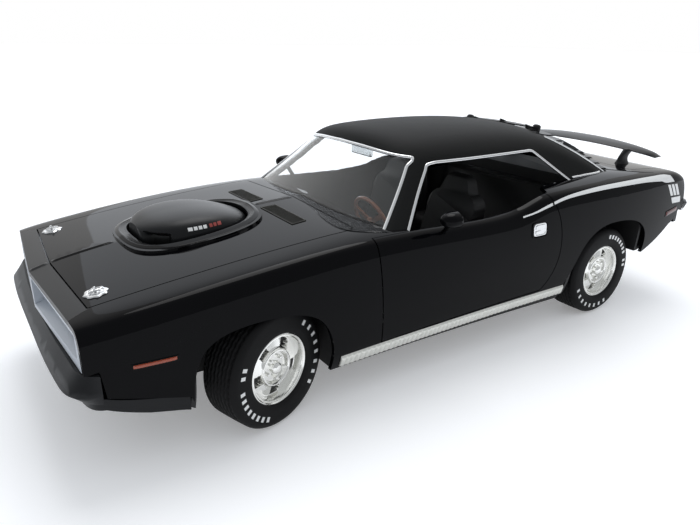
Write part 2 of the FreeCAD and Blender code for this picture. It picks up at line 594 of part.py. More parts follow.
REAR_BUMPER_SHARES = [(0.76, [(0.0, 0.9895), (0.4571, 0.988), (0.7619, 0.9865), (0.9143, 0.982),
                              (0.9524, 0.9767)]),
                      (0.7309, [(0.0, 1.0075), (0.4571, 1.0068), (0.7619, 1.0045), (0.9257, 0.9955),
                                (0.9714, 0.9767)]),
                      (0.6618, [(0.0, 0.9865), (0.4571, 0.9857), (0.7619, 0.9842), (0.9029, 0.9812),
                                (0.9448, 0.9767)])]
REAR_BUMPER_INNER_SHARES = [(0.0, 0.9744), (0.4571, 0.9744), (0.7619, 0.9744), (0.8762, 0.9744),
                            (0.9333, 0.9744)]
VALANCE_SHARES = [(0.0, -0.9789), (0.4571, -0.9759), (0.7619, -0.9654), (0.8838, -0.9489),
                  (0.9314, -0.9023), (0.9314, -0.7774)]
VALANCE_INNER_SHARES = [(0.0, -0.9684), (0.4571, -0.9654), (0.7505, -0.9556), (0.861, -0.9398),
                        (0.9048, -0.8992),
                        (0.9048, -0.7774)]
CHIN_SIDE_SHARES = [[(-0.9925, 0.3782), (-0.9323, 0.3855)], [(-0.8571, 0.32), (-0.7759, 0.2618)],
                    [(-0.7759, 0.34), (-0.9316, 0.4418)], [(-0.9925, 0.4418)]]
SURROUND_SHARES = [(-0.9524, -0.997, 0.5909), (0.9524, -0.9173, 0.7891)]
FUNNEL_PLACE_SHARES = [-1.003, -0.9429]
FUNNEL_FRONT_SHARES = [[(0.019, 0.5982), (0.019, 0.7673)], [(0.8838, 0.7636), (0.8838, 0.6036)]]
FUNNEL_REAR_SHARES = [[(0.019, 0.6545), (0.019, 0.7527)], [(0.8381, 0.7491), (0.8381, 0.6582)]]
GRILLE_BARS = 5
GRILLE_POST_SHARES = [0.2095, 0.4, 0.5905]
HEADLAMP_PLACE_SHARES = (0.7162, 0.7036)
PAN_SHARES = [[(-0.9474, 0.4073), (-0.8571, 0.3345)], [(-0.7759, 0.2582), (-0.7556, 0.2218)],
              [(0.391, 0.2218), (0.4211, 0.4327)], [(0.7218, 0.4327), (0.8421, 0.5091)],
              [(0.9504, 0.6), (0.9504, 0.6545)],
              [(0.8421, 0.5636), (0.7218, 0.4873)], [(0.406, 0.4873), (0.3759, 0.2764)],
              [(-0.7519, 0.2764), (-0.7744, 0.3091)], [(-0.8571, 0.3891), (-0.9474, 0.4618)]]
PAN_INNER_SHARES = [[(-0.9549, 0.44), (-0.8571, 0.3618)], [(-0.7789, 0.2836), (-0.7534, 0.2473)],
                    [(0.3835, 0.2473), (0.4135, 0.4582)], [(0.7218, 0.4582), (0.8421, 0.5345)],
                    [(0.9549, 0.6291), (0.9549, 1.0909)], [(-0.9549, 1.0909)]]
FRONT_HOUSE_SHARES = [(0.5029, -0.7737, 0.2291), (1.0286, -0.4293, 0.7309)]
REAR_HOUSE_SHARES = [(0.6514, 0.3789, 0.2291), (1.0667, 0.7143, 0.7891)]
HOUSE_FLOOR_SHARES = [[(-0.9474, 0.4073), (-0.8571, 0.3345)], [(-0.7759, 0.2618), (-0.7556, 0.2218)],
                      [(0.4962, 0.2218), (0.7068, 0.4436)], [(0.8421, 0.5164), (0.9504, 0.6182)],
                      [(0.9504, 1.0909), (-0.9474, 1.0909)]]
RADIATOR_WALL_SHARES = [(-0.6476, -0.8827, 0.3345), (0.6476, -0.8677, 0.7273)]
STEERING_WINDOW_SHARES = [(0.4952, -0.6466, 0.2482), (0.5429, -0.4797, 0.5018)]
TUB_SHARES = [[(-0.3489, 0.9127), (-0.3489, 0.2527)], [(0.3684, 0.2527), (0.409, 0.4945)],
              [(0.4812, 0.4945), (0.5068, 0.9927)], [(0.6466, 1.0073), (0.6466, 1.0291)],
              [(0.4977, 1.0145), (0.4722, 0.5164)], [(0.403, 0.5164), (0.3624, 0.2745)],
              [(-0.3398, 0.2745), (-0.3398, 0.9127)]]
TUB_INNER_SHARES = [[(-0.3398, 1.0909), (-0.3398, 0.2745)], [(0.3624, 0.2745), (0.403, 0.5164)],
                    [(0.4722, 0.5164), (0.4977, 1.0145)], [(0.6466, 1.0291), (0.6466, 1.0909)]]
TUB_HALF_SHARE = 0.8038
TUB_WALL_SHARES = [[(0.781, -0.3489, 0.2527), (0.8038, 0.3684, 0.3545)],
                   [(0.781, 0.2707, 0.2618), (0.8038, 0.3684, 0.9)],
                   [(0.6362, 0.3594, 0.2618), (0.8038, 0.3684, 0.9)],
                   [(0.6362, 0.3594, 0.5091), (0.6476, 0.4992, 0.9)]]
TUNNEL_SHARES = [(-0.0952, -0.3429, 0.2618), (0.0952, 0.2692, 0.3491)]
CONSOLE_SHARES = [(-0.0686, -0.2481, 0.3382), (0.0686, 0.1504, 0.4436)]
TUB_CLEAR_SHARES = [(0.6495, 0.3699, 0.1818), (1.1429, 0.7519, 0.8036)]
DASH_SHARES = [[(-0.3368, 0.6909), (-0.2782, 0.6636)], [(-0.2594, 0.7273), (-0.2511, 0.8436)],
               [(-0.2511, 0.8436), (-0.2571, 0.8945), (-0.2767, 0.9164)], [(-0.3368, 0.9382)]]
DASH_HALF_SHARE = 0.7924
BINNACLE_SHARES = (0.3429, -0.3008, 0.8473)
SEAT_PLACE_SHARES = (0.3543, 0.0)
SEAT_SIDE_SHARES = [[(-0.0797, 0.2764), (-0.0872, 0.4182)], [(-0.0872, 0.4182), (-0.0812, 0.4764),
                                                             (-0.0564, 0.4909)],
                    [(0.0564, 0.4509), (0.1158, 0.9182)], [(0.1278, 1.0455), (0.1459, 1.0836),
                                                           (0.1639, 1.0473)],
                    [(0.1564, 0.8727), (0.1165, 0.4)], [(0.1053, 0.2764)]]
SEAT_FRONT_SHARES = [[(-0.95, 0.2764), (-1.0, 0.4364)], [(-0.96, 0.8), (-0.90, 0.9182), (-0.62, 0.9564)],
                     [(-0.52, 1.0091), (0.0, 1.1), (0.52, 1.0091)],
                     [(0.62, 0.9564), (0.90, 0.9182), (0.96, 0.8)], [(1.0, 0.4364), (0.95, 0.2764)]]
REAR_SEAT_HALF_SHARE = 0.6248
REAR_SEAT_SHARES = [[(0.2744, 0.2764), (0.2707, 0.4655)], [(0.2707, 0.4655), (0.2767, 0.5091),
                                                           (0.297, 0.52)],
                    [(0.3835, 0.5218), (0.4549, 0.8982)], [(0.4549, 0.8982), (0.4692, 0.9382),
                                                           (0.4857, 0.9273)],
                    [(0.4677, 0.5345), (0.4662, 0.5218)], [(0.4, 0.5218), (0.3602, 0.2764)]]
COLUMN_SHARES = [(0.3429, -0.2669, 0.7545), (0.3429, -0.1692, 0.8455)]
# Screw holes in the pan: the two places along the centre line.
SCREW_PLACE_SHARES = [-0.2256, 0.2256]
SPOKE_TURNS = [90, 210, 330]
INNER_MIRROR_SHARES = [(-0.1181, -0.1158, 1.2109), (0.1181, -0.1068, 1.2727)]
MIRROR_STALK_SHARES = [(0.0, -0.1098, 1.2545), (0.0, -0.0489, 1.3909)]
DOOR_MIRROR_SHARES = (1.04, -0.1398, 1.0109)
MIRROR_RING_SHARES = [(-1.25, 0.12), (-1.15, 0.45), (-0.80, 0.78), (-0.20, 0.97), (0.45, 1.0)]
MIRROR_TALL_SHARE = 0.78
MIRROR_FOOT_SHARES = [(0.941, -0.1293, 0.9091), (1.0171, -0.1383, 0.9927)]
SILL_MOULDING_SHARES = [[(-0.4241, 0.2291), (0.3534, 0.2618)], [(0.3534, 0.3345), (-0.4241, 0.3073)]]
SILL_GROOVES = 3
WING_SHARES = [(0.0, 0.8, 0.8797, 1.1709, 1.2, 1.0), (0.2667, 0.8038, 0.8827, 1.1673, 1.1927, 1.0),
               (0.5143, 0.818, 0.8917, 1.1491, 1.1673, 1.0), (0.6857, 0.8451, 0.9023, 1.12, 1.1309, 0.8),
               (0.7619, 0.8692, 0.9083, 1.0945, 1.0982, 0.45)]
WING_THICKEST_SHARE = 0.35
PEDESTAL_PLACE_SHARE = 0.56
# Sections of a pedestal: height, front, rear, half width in pedestal_half.
PEDESTAL_SHARES = [(0.9909, 0.7639, 0.8526, 1.5), (1.0473, 0.782, 0.8406, 0.8),
                   (1.0909, 0.794, 0.8421, 0.65), (1.1473, 0.8165, 0.8677, 1.0)]
CROSSMEMBER_HALF_SHARE = 0.56
# Path of a steering arm, shares of the front tyre's half track less kingpin_x.
STEERING_ARM_SHARES = [(0.0, 0.0), (-1.75, 0.12), (-1.75, 2.69)]
EXHAUST_SHARES = [(0.3048, -0.3759, 0.1964), (0.3048, 0.3459, 0.1964)]
MUFFLER_SHARES = [(0.3048, 0.015, 0.1818), (0.3048, 0.2556, 0.1818)]
CROSS_PIPE_SHARES = (0.0, -0.1504, 0.1964)


AXES = {"x": Vector(1, 0, 0), "y": Vector(0, 1, 0), "z": Vector(0, 0, 1)}


def spot(shares):
    """Point from shares of HALF_WIDTH, HALF_LENGTH and the belt height."""
    return Vector(shares[0] * HALF_WIDTH, shares[1] * HALF_LENGTH, shares[2] * BELT)


def block(shares):
    """Box from the shares of its two corners."""
    return box(spot(shares[0]), spot(shares[1]))


def cylinder(foot, way, radius, length):
    return Part.makeCylinder(radius, length, foot, way)


def strip(path, half, place, depth):
    """Bar of constant width along a path in a plane, with round corners.

    path holds pairs, place turns a pair into a point and depth is the
    thickness vector.
    """
    points = [place(a, b) for a, b in path]
    piece = None
    for point in points:
        disc = cylinder(point, depth, half, depth.Length)
        piece = disc if piece is None else piece.fuse(disc)
    for start, end in zip(points, points[1:]):
        side = (end - start).cross(depth)
        side.normalize()
        side = side * half
        quad = Part.Face(Part.makePolygon([start + side, end + side, end - side, start - side,
                                           start + side]))
        piece = piece.fuse(quad.extrude(depth))
    return piece.removeSplitter()


def skin_height(solid, x, y):
    """Height at which a solid's top lies over a place."""
    ray = line(Vector(x, y, 0), Vector(x, y, HIGH))
    return ray.common(solid).BoundBox.ZMax


def cross_prism(runs, start, end):
    """Prism along Y of an outline in shares of HALF_WIDTH and the belt."""
    face = runs_face(runs, lambda a, b: Vector(a * HALF_WIDTH, start, b * BELT))
    return face.extrude(Vector(0, end - start, 0))


inner_full = both(lower_half(WALL + FIT))
deep_full = both(lower_half(WALL + 4 * FIT))
skin_grown = both(lower_half(-FIT))
half_deep = both(lower_half(WALL / 2))
pieces = {}

# Doors: bevelled front edge, hinge arms on the door, ears and pins on the fender.
front_line = [Vector(0, DOOR_SHARES[0][k][0] * HALF_LENGTH, DOOR_SHARES[0][k][1] * BELT) for k in (0, 1)]
lean = (front_line[0].y - front_line[1].y) / (front_line[0].z - front_line[1].z)
door_foot = front_line[1]


def door_front(z):
    """Place of the door's front edge at a height."""
    return door_foot.y + lean * (z - door_foot.z)


bevel_plane = Part.Face(Part.makePolygon([
    Vector(0, door_front(0) - FIT, 0), Vector(REACH, door_front(0) - FIT, 0),
    Vector(REACH, door_front(HIGH) - FIT, HIGH), Vector(0, door_front(HIGH) - FIT, HIGH),
    Vector(0, door_front(0) - FIT, 0)]))
bevel_section = skin_half.common(bevel_plane)
bevel = bevel_section.extrude(Vector(-2, 2, 0) * size["door_wall"])
door = biggest(door_half.cut(bevel))
waist_x = WAIST_AT_HINGE_SHARE * HALF_WIDTH
hinge_x = waist_x - size["hinge_in"]
hinge_y = door_front(size["waist_height"]) - size["hinge_ahead"]
pin = size["hinge_pin_radius"]
arm = size["hinge_arm"]
fender_left = fender
door_left = door
for level_share in HINGE_LEVEL_SHARES:
    level = level_share * BELT
    path = [(a * size["hinge_ahead"], b * size["hinge_ahead"]) for a, b in GOOSENECK_SHARES]
    neck = strip(path, arm / 2, lambda a, b: Vector(hinge_x + a, hinge_y + b, level), Vector(0, 0, arm))
    neck = neck.cut(cylinder(Vector(hinge_x, hinge_y, level - FIT), AXES["z"], pin + FIT / 2,
                             arm + FIT + FIT))
    door_left = door_left.fuse(neck)
    ear_in = hinge_x - EAR_IN_SHARE * size["hinge_ahead"]
    ear_out = waist_x - WALL / 2
    ears = [zone(ear_in, ear_out, hinge_y - arm, hinge_y + EAR_AHEAD_SHARE * arm, low, low + arm)
            for low in (level - FIT - arm, level + arm + FIT)]
    bolt = cylinder(Vector(hinge_x, hinge_y, level - FIT - arm), AXES["z"], pin, 3 * arm + FIT + FIT)
    for ear in ears:
        fender_left = fender_left.fuse(ear.common(skin_half))
    fender_left = fender_left.fuse(bolt)
pieces["door_left"] = biggest(door_left)
pieces["fender_left"] = biggest(fender_left)
pieces["body_side_left"] = body_side


def lid_hinges(lid, frame, axis_y, way, solid):
    """Add arms to a lid and ears to the frame beside its edge.

    way is 1 where the lid lies behind the hinge and -1 where it lies ahead.
    """
    for side in (1, -1):
        x_mid = side * LID_HINGE_SHARE * HALF_WIDTH
        axis_z = skin_height(solid, x_mid, axis_y) - size["lid_hinge_drop"]
        path = [(a * size["hinge_ahead"], b * size["hinge_ahead"]) for a, b in LID_NECK_SHARES]
        neck = strip(path, arm / 2, lambda a, b: Vector(x_mid - arm / 2, axis_y + way * b, axis_z + a),
                     Vector(arm, 0, 0))
        neck = neck.cut(cylinder(Vector(x_mid - arm, axis_y, axis_z), AXES["x"], pin + FIT / 2, arm + arm))
        lid = lid.fuse(neck.common(solid))
        for low in (x_mid - arm / 2 - FIT - arm, x_mid + arm / 2 + FIT):
            ear = zone(low, low + arm, axis_y - arm, axis_y + arm, axis_z - arm,
                       axis_z + size["lid_hinge_drop"])
            frame = frame.fuse(ear.common(half_deep))
        frame = frame.fuse(cylinder(Vector(x_mid - arm / 2 - FIT - arm, axis_y, axis_z), AXES["x"],
                                    pin, 3 * arm + FIT + FIT))
    return lid, frame, axis_z


# Hood: bevelled rear edge, opening for the scoop with a raised seal round it.
hood_edge = HOOD_SHARES[3][0][1] * HALF_LENGTH
edge_plane = Part.Face(Part.makePolygon([
    Vector(-REACH, hood_edge + FIT, 0), Vector(REACH, hood_edge + FIT, 0), Vector(REACH, hood_edge + FIT,
                                                                                  HIGH),
    Vector(-REACH, hood_edge + FIT, HIGH), Vector(-REACH, hood_edge + FIT, 0)]))
hood_bevel = skin_full.common(edge_plane).extrude(Vector(0, -2, -2) * WALL)
hood = both(hood_half).cut(hood_bevel)
scoop_mid = size["scoop_centre"]


def scoop_outline(push):
    """Plan outline of the scoop, grown by a clearance."""
    half = [Vector(a * (size["scoop_half_width"] + push),
                   b * (size["scoop_half_length"] + push) - scoop_mid, 0) for a, b in SCOOP_HOLE_SHARES]
    whole = half + [Vector(-point.x, point.y, 0) for point in reversed(half[1:-1])]
    curve = Part.BSplineCurve()
    curve.interpolate(whole, PeriodicFlag=True)
    return Part.Face(Part.Wire(curve.toShape())).extrude(Vector(0, 0, HIGH))


seal_low = scoop_outline(size["scoop_gap"])
seal_high = scoop_outline(size["scoop_gap"] + size["seal_width"])
hood = hood.cut(seal_low)
upper_full = zone(-REACH, REACH, -FAR, FAR, size["waist_height"], HIGH)
ring = both(lower_half(-size["seal_height"])).common(seal_high).cut(seal_low).common(upper_full)
ring = ring.cut(half_deep)
hood = biggest(hood.fuse(ring))
hood_hinge_y = hood_edge + size["hinge_ahead"]
cowl = both(cowl_half)
hood, cowl, hood_hinge_z = lid_hinges(hood, cowl, hood_hinge_y, -1, skin_full)
pieces["hood"] = biggest(hood)
pieces["cowl_panel"] = biggest(cowl)
pieces["nose_panel"] = both(nose_half)

# Deck lid, the panel between it and the rear glass, and the tail panel.
deck_edge = DECK_SHARES[0][0][1] * HALF_LENGTH
deck_plane = Part.Face(Part.makePolygon([
    Vector(-REACH, deck_edge - FIT, 0), Vector(REACH, deck_edge - FIT, 0), Vector(REACH, deck_edge - FIT,
                                                                                  HIGH),
    Vector(-REACH, deck_edge - FIT, HIGH), Vector(-REACH, deck_edge - FIT, 0)]))
deck_bevel = skin_full.common(deck_plane).extrude(Vector(0, 2, -2) * WALL)
deck = both(deck_half).cut(deck_bevel)
deck_hinge_y = deck_edge - size["hinge_ahead"]
filler = both(filler_half)
deck, filler, deck_hinge_z = lid_hinges(deck, filler, deck_hinge_y, 1, skin_full)
pieces["deck_lid"] = biggest(deck)
pieces["deck_filler_panel"] = biggest(filler)
tail_strip = both(shell_half.common(plan_prism(TAIL_STRIP_SHARES, 0, HIGH)).common(upper).cut(deck_clear))
tail_slab = half_deep.common(block(TAIL_SLAB_SHARES))
tail_wide = deep_full.common(block(TAIL_WIDE_SHARES))
lamp_slots = [cross_prism(TAIL_LAMP_SHARES, TAIL_REAR_SHARE * HALF_LENGTH - size["lamp_recess"], FAR)]
lamp_slots.append(mirrored(lamp_slots[0]))
tail = tail_strip.fuse(tail_slab).fuse(tail_wide).cut(lamp_slots)
pieces["tail_panel"] = biggest(tail)
lamp_front = TAIL_REAR_SHARE * HALF_LENGTH - size["lamp_recess"] + FIT
lamp_face = runs_face(TAIL_LAMP_SHARES, lambda a, b: Vector(a * HALF_WIDTH, lamp_front, b * BELT))
lamp_left = grown(lamp_face, -FIT).extrude(Vector(0, size["lamp_recess"] - FIT - FIT, 0))
pieces["tail_lamp_left"] = lamp_left.cut([block(rib) for rib in TAIL_RIB_SHARES])
pieces["tail_lamp_right"] = mirrored(pieces["tail_lamp_left"])

pieces["roof_panel"] = roof
pieces["windshield"] = windshield
pieces["rear_glass"] = rear_glass

# Slatted shade over the rear glass: blades between two skins, on three rails.
shade_skin = glasshouse(-size["shade_height"]).cut(glasshouse(-size["shade_gap"]))
shade_area = plan_prism(whole(REAR_GLASS_SHARES), size["glass_base"], HIGH, -size["shade_margin"])
shade_end = zone(-REACH, REACH, 0, SHADE_END_SHARE * HALF_LENGTH, BELT, HIGH)
shade_band = shade_skin.common(shade_area).common(shade_end).cut(skin_grown)
blades = []
for number in range(SHADE_BLADES):
    share = number / (SHADE_BLADES - 1)
    low = SHADE_LEVEL_SHARES[0] + share * (SHADE_LEVEL_SHARES[1] - SHADE_LEVEL_SHARES[0])
    blades.append(zone(-REACH, REACH, 0, FAR, low * BELT, low * BELT + size["blade_wall"]))
rails = [zone(x * HALF_WIDTH - size["blade_wall"], x * HALF_WIDTH + size["blade_wall"], 0, FAR, 0, HIGH)
         for x in SHADE_RAIL_SHARES]
shade = None
for cutter in blades + rails:
    slat = shade_band.common(cutter)
    shade = slat if shade is None else shade.fuse(slat)
pieces["rear_louvres"] = biggest(shade)


def half_loft(grid):
    """Left half of a solid with a curved skin, from rows of poles.

    Each row runs from a flat foot to the middle plane.
    """
    surface = spline_face(grid)
    foot_front, foot_rear = grid[0][0], grid[-1][0]
    top_front, top_rear = grid[0][-1], grid[-1][-1]
    in_front = Vector(0, foot_front.y, foot_front.z)
    in_rear = Vector(0, foot_rear.y, foot_rear.z)
    bottom = flat_face([border(surface, "v", 0), line(foot_rear, in_rear), line(in_rear, in_front),
                        line(in_front, foot_front)])
    centre = flat_face([border(surface, "v", 1), line(top_rear, in_rear), line(in_rear, in_front),
                        line(in_front, top_front)])
    front = flat_face([border(surface, "u", 0), line(top_front, in_front), line(in_front, foot_front)])
    rear = flat_face([border(surface, "u", 1), line(top_rear, in_rear), line(in_rear, foot_rear)])
    return closed_solid([surface.toShape(), bottom, centre, front, rear])


# Scoop that stands on the engine and rises through the hood.
scoop_grid = []
for along, wide, top in SCOOP_STATION_SHARES:
    y = along * size["scoop_half_length"] - scoop_mid
    scoop_grid.append([Vector(a * wide * size["scoop_half_width"], y,
                              size["scoop_foot"] + b * (top * BELT - size["scoop_foot"]))
                       for a, b in SCOOP_ROW_SHARES])
scoop = both(half_loft(scoop_grid))
intake = cross_prism(INTAKE_SHARES, -scoop_mid - size["scoop_half_length"] - OVER,
                     -scoop_mid - size["scoop_half_length"] + size["intake_depth"])
scoop = biggest(scoop.cut([intake, mirrored(intake)]))
pieces["scoop"] = scoop


def band_wire(outer, inner, level):
    """Closed plan wire of a band, from the left half of both its sides."""
    edges = []
    ends = []
    for half in (outer, inner):
        left = [Vector(x * HALF_WIDTH, y * HALF_LENGTH, level * BELT) for x, y in half]
        points = [Vector(-point.x, point.y, point.z) for point in reversed(left)] + left[1:]
        curve = Part.BSplineCurve()
        curve.interpolate(points)
        edges.append(curve.toShape())
        ends.append((points[0], points[-1]))
    (outer_right, outer_left), (inner_right, inner_left) = ends
    return Part.Wire(Part.__sortEdges__([edges[0], line(outer_left, inner_left), edges[1],
                                         line(inner_right, outer_right)]))


def ruled(wires):
    loft = Part.makeLoft(wires, True, True)
    if loft.Volume < 0:
        loft.reverse()
    return loft


pieces["front_bumper"] = ruled([band_wire(outer, FRONT_BUMPER_INNER_SHARES, level)
                                for level, outer in FRONT_BUMPER_SHARES])
pieces["rear_bumper"] = ruled([band_wire(outer, REAR_BUMPER_INNER_SHARES, level)
                               for level, outer in REAR_BUMPER_SHARES])
chin_face = Part.Face(band_wire(VALANCE_SHARES, VALANCE_INNER_SHARES, 0))
chin = chin_face.extrude(Vector(0, 0, HIGH)).common(side_prism(CHIN_SIDE_SHARES, -REACH, REACH))
pieces["front_valance"] = biggest(chin)

# Surround of the grille, sunk in the nose, with two openings.
nose_solid = inner_full.common(block(SURROUND_SHARES)).cut([nose_cut, mirrored(nose_cut)])
funnel_wires = []
for runs, along in ((FUNNEL_FRONT_SHARES, FUNNEL_PLACE_SHARES[0]),
                    (FUNNEL_REAR_SHARES, FUNNEL_PLACE_SHARES[1])):
    face = runs_face(runs, lambda a, b: Vector(a * HALF_WIDTH, along * HALF_LENGTH, b * BELT))
    funnel_wires.append(face.OuterWire)
funnel = ruled(funnel_wires)
pocket = funnel_wires[1]
pocket_solid = Part.Face(pocket).extrude(Vector(0, OVER, 0))
surround = nose_solid.cut([funnel, pocket_solid, mirrored(funnel), mirrored(pocket_solid)])
pieces["grille_surround"] = biggest(surround)
grille_area = runs_face(FUNNEL_REAR_SHARES, lambda a, b: Vector(a * HALF_WIDTH, 0, b * BELT))
grille_area = grown(grille_area, -FIT)
grille_front = FUNNEL_PLACE_SHARES[1] * HALF_LENGTH + size["grille_set"]
lattice = None
for number in range(GRILLE_BARS):
    share = (number + 1) / (GRILLE_BARS + 1)
    level = FUNNEL_REAR_SHARES[0][0][1] + share * (FUNNEL_REAR_SHARES[1][0][1] - FUNNEL_REAR_SHARES[0][0][1])
    bar = zone(0, REACH, grille_front, grille_front + size["grille_depth"],
               level * BELT - size["grille_bar"] / 2, level * BELT + size["grille_bar"] / 2)
    lattice = bar if lattice is None else lattice.fuse(bar)
for x in GRILLE_POST_SHARES:
    lattice = lattice.fuse(zone(x * HALF_WIDTH - size["grille_bar"] / 2,
                                x * HALF_WIDTH + size["grille_bar"] / 2,
                                grille_front + size["grille_bar"],
                                grille_front + size["grille_depth"], 0, HIGH))
backing = zone(0, REACH, grille_front + size["grille_depth"], grille_front + size["grille_depth"] + WALL, 0,
               HIGH)
lamp_x = HEADLAMP_PLACE_SHARES[0] * HALF_WIDTH
lamp_z = HEADLAMP_PLACE_SHARES[1] * BELT
lamp_ring = cylinder(Vector(lamp_x, grille_front, lamp_z), AXES["y"],
                     size["headlamp_radius"] + size["grille_bar"],
                     size["grille_depth"])
lattice = lattice.fuse(backing).fuse(lamp_ring)
lattice = lattice.common(grille_area.extrude(Vector(0, -FAR, 0)))
lattice = lattice.cut(cylinder(Vector(lamp_x, -FAR, lamp_z), AXES["y"], size["headlamp_radius"] + FIT,
                               FAR + grille_front + size["grille_depth"]))
pieces["grille_left"] = biggest(lattice)
pieces["grille_right"] = mirrored(pieces["grille_left"])
glass_ball = Part.makeSphere(size["headlamp_crown"], Vector(
    lamp_x, grille_front - size["grille_bar"] + size["headlamp_crown"], lamp_z))
lamp = cylinder(Vector(lamp_x, -FAR, lamp_z), AXES["y"], size["headlamp_radius"],
                FAR + grille_front + size["grille_depth"] - FIT).common(glass_ball)
pieces["headlamp_left"] = lamp
pieces["headlamp_right"] = mirrored(lamp)

# Chassis: pan that follows the underside, wheelhouses, radiator wall.
pan_outer = runs_face(PAN_SHARES, lambda a, b: Vector(-REACH, a * HALF_LENGTH,
                                                      b * BELT)).extrude(Vector(2 * REACH, 0, 0))
pan_inner = runs_face(PAN_INNER_SHARES, lambda a, b: Vector(-REACH - OVER, a * HALF_LENGTH,
                                                            b * BELT)).extrude(
    Vector(2 * REACH + 2 * OVER, 0, 0))
houses = []
cavities = []
for shares in (FRONT_HOUSE_SHARES, REAR_HOUSE_SHARES):
    outer_box = block(shares)
    low, high = spot(shares[0]), spot(shares[1])
    cavity = box(Vector(low.x + WALL, low.y + WALL, 0), Vector(REACH, high.y - WALL, high.z - WALL))
    cavities += [cavity, mirrored(cavity)]
    houses += [outer_box, mirrored(outer_box)]
over_floor = runs_face(HOUSE_FLOOR_SHARES, lambda a, b: Vector(-REACH, a * HALF_LENGTH, b * BELT))
over_floor = over_floor.extrude(Vector(2 * REACH, 0, 0))
houses = block(RADIATOR_WALL_SHARES).fuse(houses).common(over_floor)
chassis = pan_outer.cut(pan_inner).fuse(houses).cut(cavities).common(inner_full)
window = block(STEERING_WINDOW_SHARES)
axle_hole = cylinder(Vector(-REACH, size["rear_axle_y"], size["axle_height"]), AXES["x"],
                     size["spindle_radius"] + GAP, 2 * REACH)
screw_holes = [cylinder(Vector(0, share * HALF_LENGTH, 0), AXES["z"], size["screw_hole_radius"],
                        size["screw_hole_top"]) for share in SCREW_PLACE_SHARES]
chassis = chassis.cut([window, mirrored(window), axle_hole, chin] + screw_holes)
pieces["chassis_pan"] = biggest(chassis)

# Interior: tub, dashboard, seats. Notches leave the hood's arms free.
notch_half = 2 * arm + FIT + GAP
notch = zone(LID_HINGE_SHARE * HALF_WIDTH - notch_half, LID_HINGE_SHARE * HALF_WIDTH + notch_half, -FAR,
             hood_hinge_y + size["hinge_ahead"] / 2, hood_hinge_z - size["hinge_ahead"] - GAP, HIGH)
notches = [notch, mirrored(notch)]
tub = runs_face(TUB_SHARES, lambda a, b: Vector(TUB_HALF_SHARE * -HALF_WIDTH, a * HALF_LENGTH,
                                                b * BELT)).extrude(
    Vector(2 * TUB_HALF_SHARE * HALF_WIDTH, 0, 0))
tub_inner = runs_face(TUB_INNER_SHARES, lambda a, b: Vector(-REACH, a * HALF_LENGTH, b * BELT)).extrude(
    Vector(2 * REACH, 0, 0))
tub = tub.cut(tub_inner)
for shares in TUB_WALL_SHARES:
    wall = block(shares)
    tub = tub.fuse([wall, mirrored(wall)])
tub = tub.fuse(block(TUNNEL_SHARES)).fuse(block(CONSOLE_SHARES)).common(deep_full)
house_clear = block(TUB_CLEAR_SHARES)
pieces["interior_tub"] = biggest(tub.cut([house_clear, mirrored(house_clear)] + screw_holes + notches))
dash = side_prism(DASH_SHARES, -DASH_HALF_SHARE * HALF_WIDTH, DASH_HALF_SHARE * HALF_WIDTH)
binnacle = cylinder(spot(BINNACLE_SHARES), Vector(0, 1, 0), size["binnacle_radius"], size["binnacle_depth"])
column_end = spot(COLUMN_SHARES[0])
wheel_spot = spot(COLUMN_SHARES[1])
column_way = wheel_spot - column_end
column_hole = cylinder(column_end - column_way / 2, column_way, size["column_radius"] + FIT,
                       2 * column_way.Length)
dash = dash.fuse(binnacle).common(deep_full).cut(notches + [column_hole])
pieces["dashboard"] = biggest(dash)


def seat_shape(side_runs, front_runs, shares):
    body = side_prism(side_runs, 0, 2 * size["seat_half_width"])
    body.translate(Vector(shares[0] * HALF_WIDTH - size["seat_half_width"], 0, 0))
    front = runs_face(front_runs, lambda a, b: Vector(
        shares[0] * HALF_WIDTH + a * size["seat_half_width"], -FAR, b * BELT))
    return biggest(body.common(front.extrude(Vector(0, FAR + FAR, 0))))


seat = seat_shape(SEAT_SIDE_SHARES, SEAT_FRONT_SHARES, SEAT_PLACE_SHARES)
pieces["seat_left"] = seat
pieces["seat_right"] = mirrored(seat)
pieces["rear_seat"] = side_prism(REAR_SEAT_SHARES, -REAR_SEAT_HALF_SHARE * HALF_WIDTH,
                                 REAR_SEAT_HALF_SHARE * HALF_WIDTH)

# Steering wheel and column, along the column's axis.
column_length = column_way.Length
column_turn = Rotation(AXES["z"], column_way)
rim_ring = Part.makeTorus(size["steering_rim_radius"], size["steering_rim_grip"], wheel_spot, column_way)
spokes = []
for turn in SPOKE_TURNS:
    spoke = Part.makeBox(size["steering_rim_radius"], size["spoke_width"], size["spoke_wall"],
                         Vector(0, -size["spoke_width"] / 2, -size["spoke_wall"]))
    spoke.rotate(Vector(0, 0, 0), AXES["z"], turn)
    spoke.Placement = Placement(wheel_spot, column_turn).multiply(spoke.Placement)
    spokes.append(spoke)
hub_radius = size["spoke_width"]
steering = rim_ring.fuse(spokes).fuse(cylinder(column_end, column_way, size["column_radius"],
                                               column_length))
steering = steering.fuse(cylinder(wheel_spot - column_way / column_length * hub_radius, column_way,
                                  hub_radius, hub_radius))
pieces["steering_wheel"] = biggest(steering)

inner_mirror = block(INNER_MIRROR_SHARES)
inner_mirror = inner_mirror.makeFillet(size["mirror_round"], inner_mirror.Edges)
stalk = cylinder(spot(MIRROR_STALK_SHARES[0]), spot(MIRROR_STALK_SHARES[1]) - spot(MIRROR_STALK_SHARES[0]),
                 size["mirror_stalk"], (spot(MIRROR_STALK_SHARES[1]) - spot(MIRROR_STALK_SHARES[0])).Length)
pieces["inner_mirror"] = biggest(inner_mirror.fuse(stalk).common(glasshouse(size["roof_wall"] + FIT)))

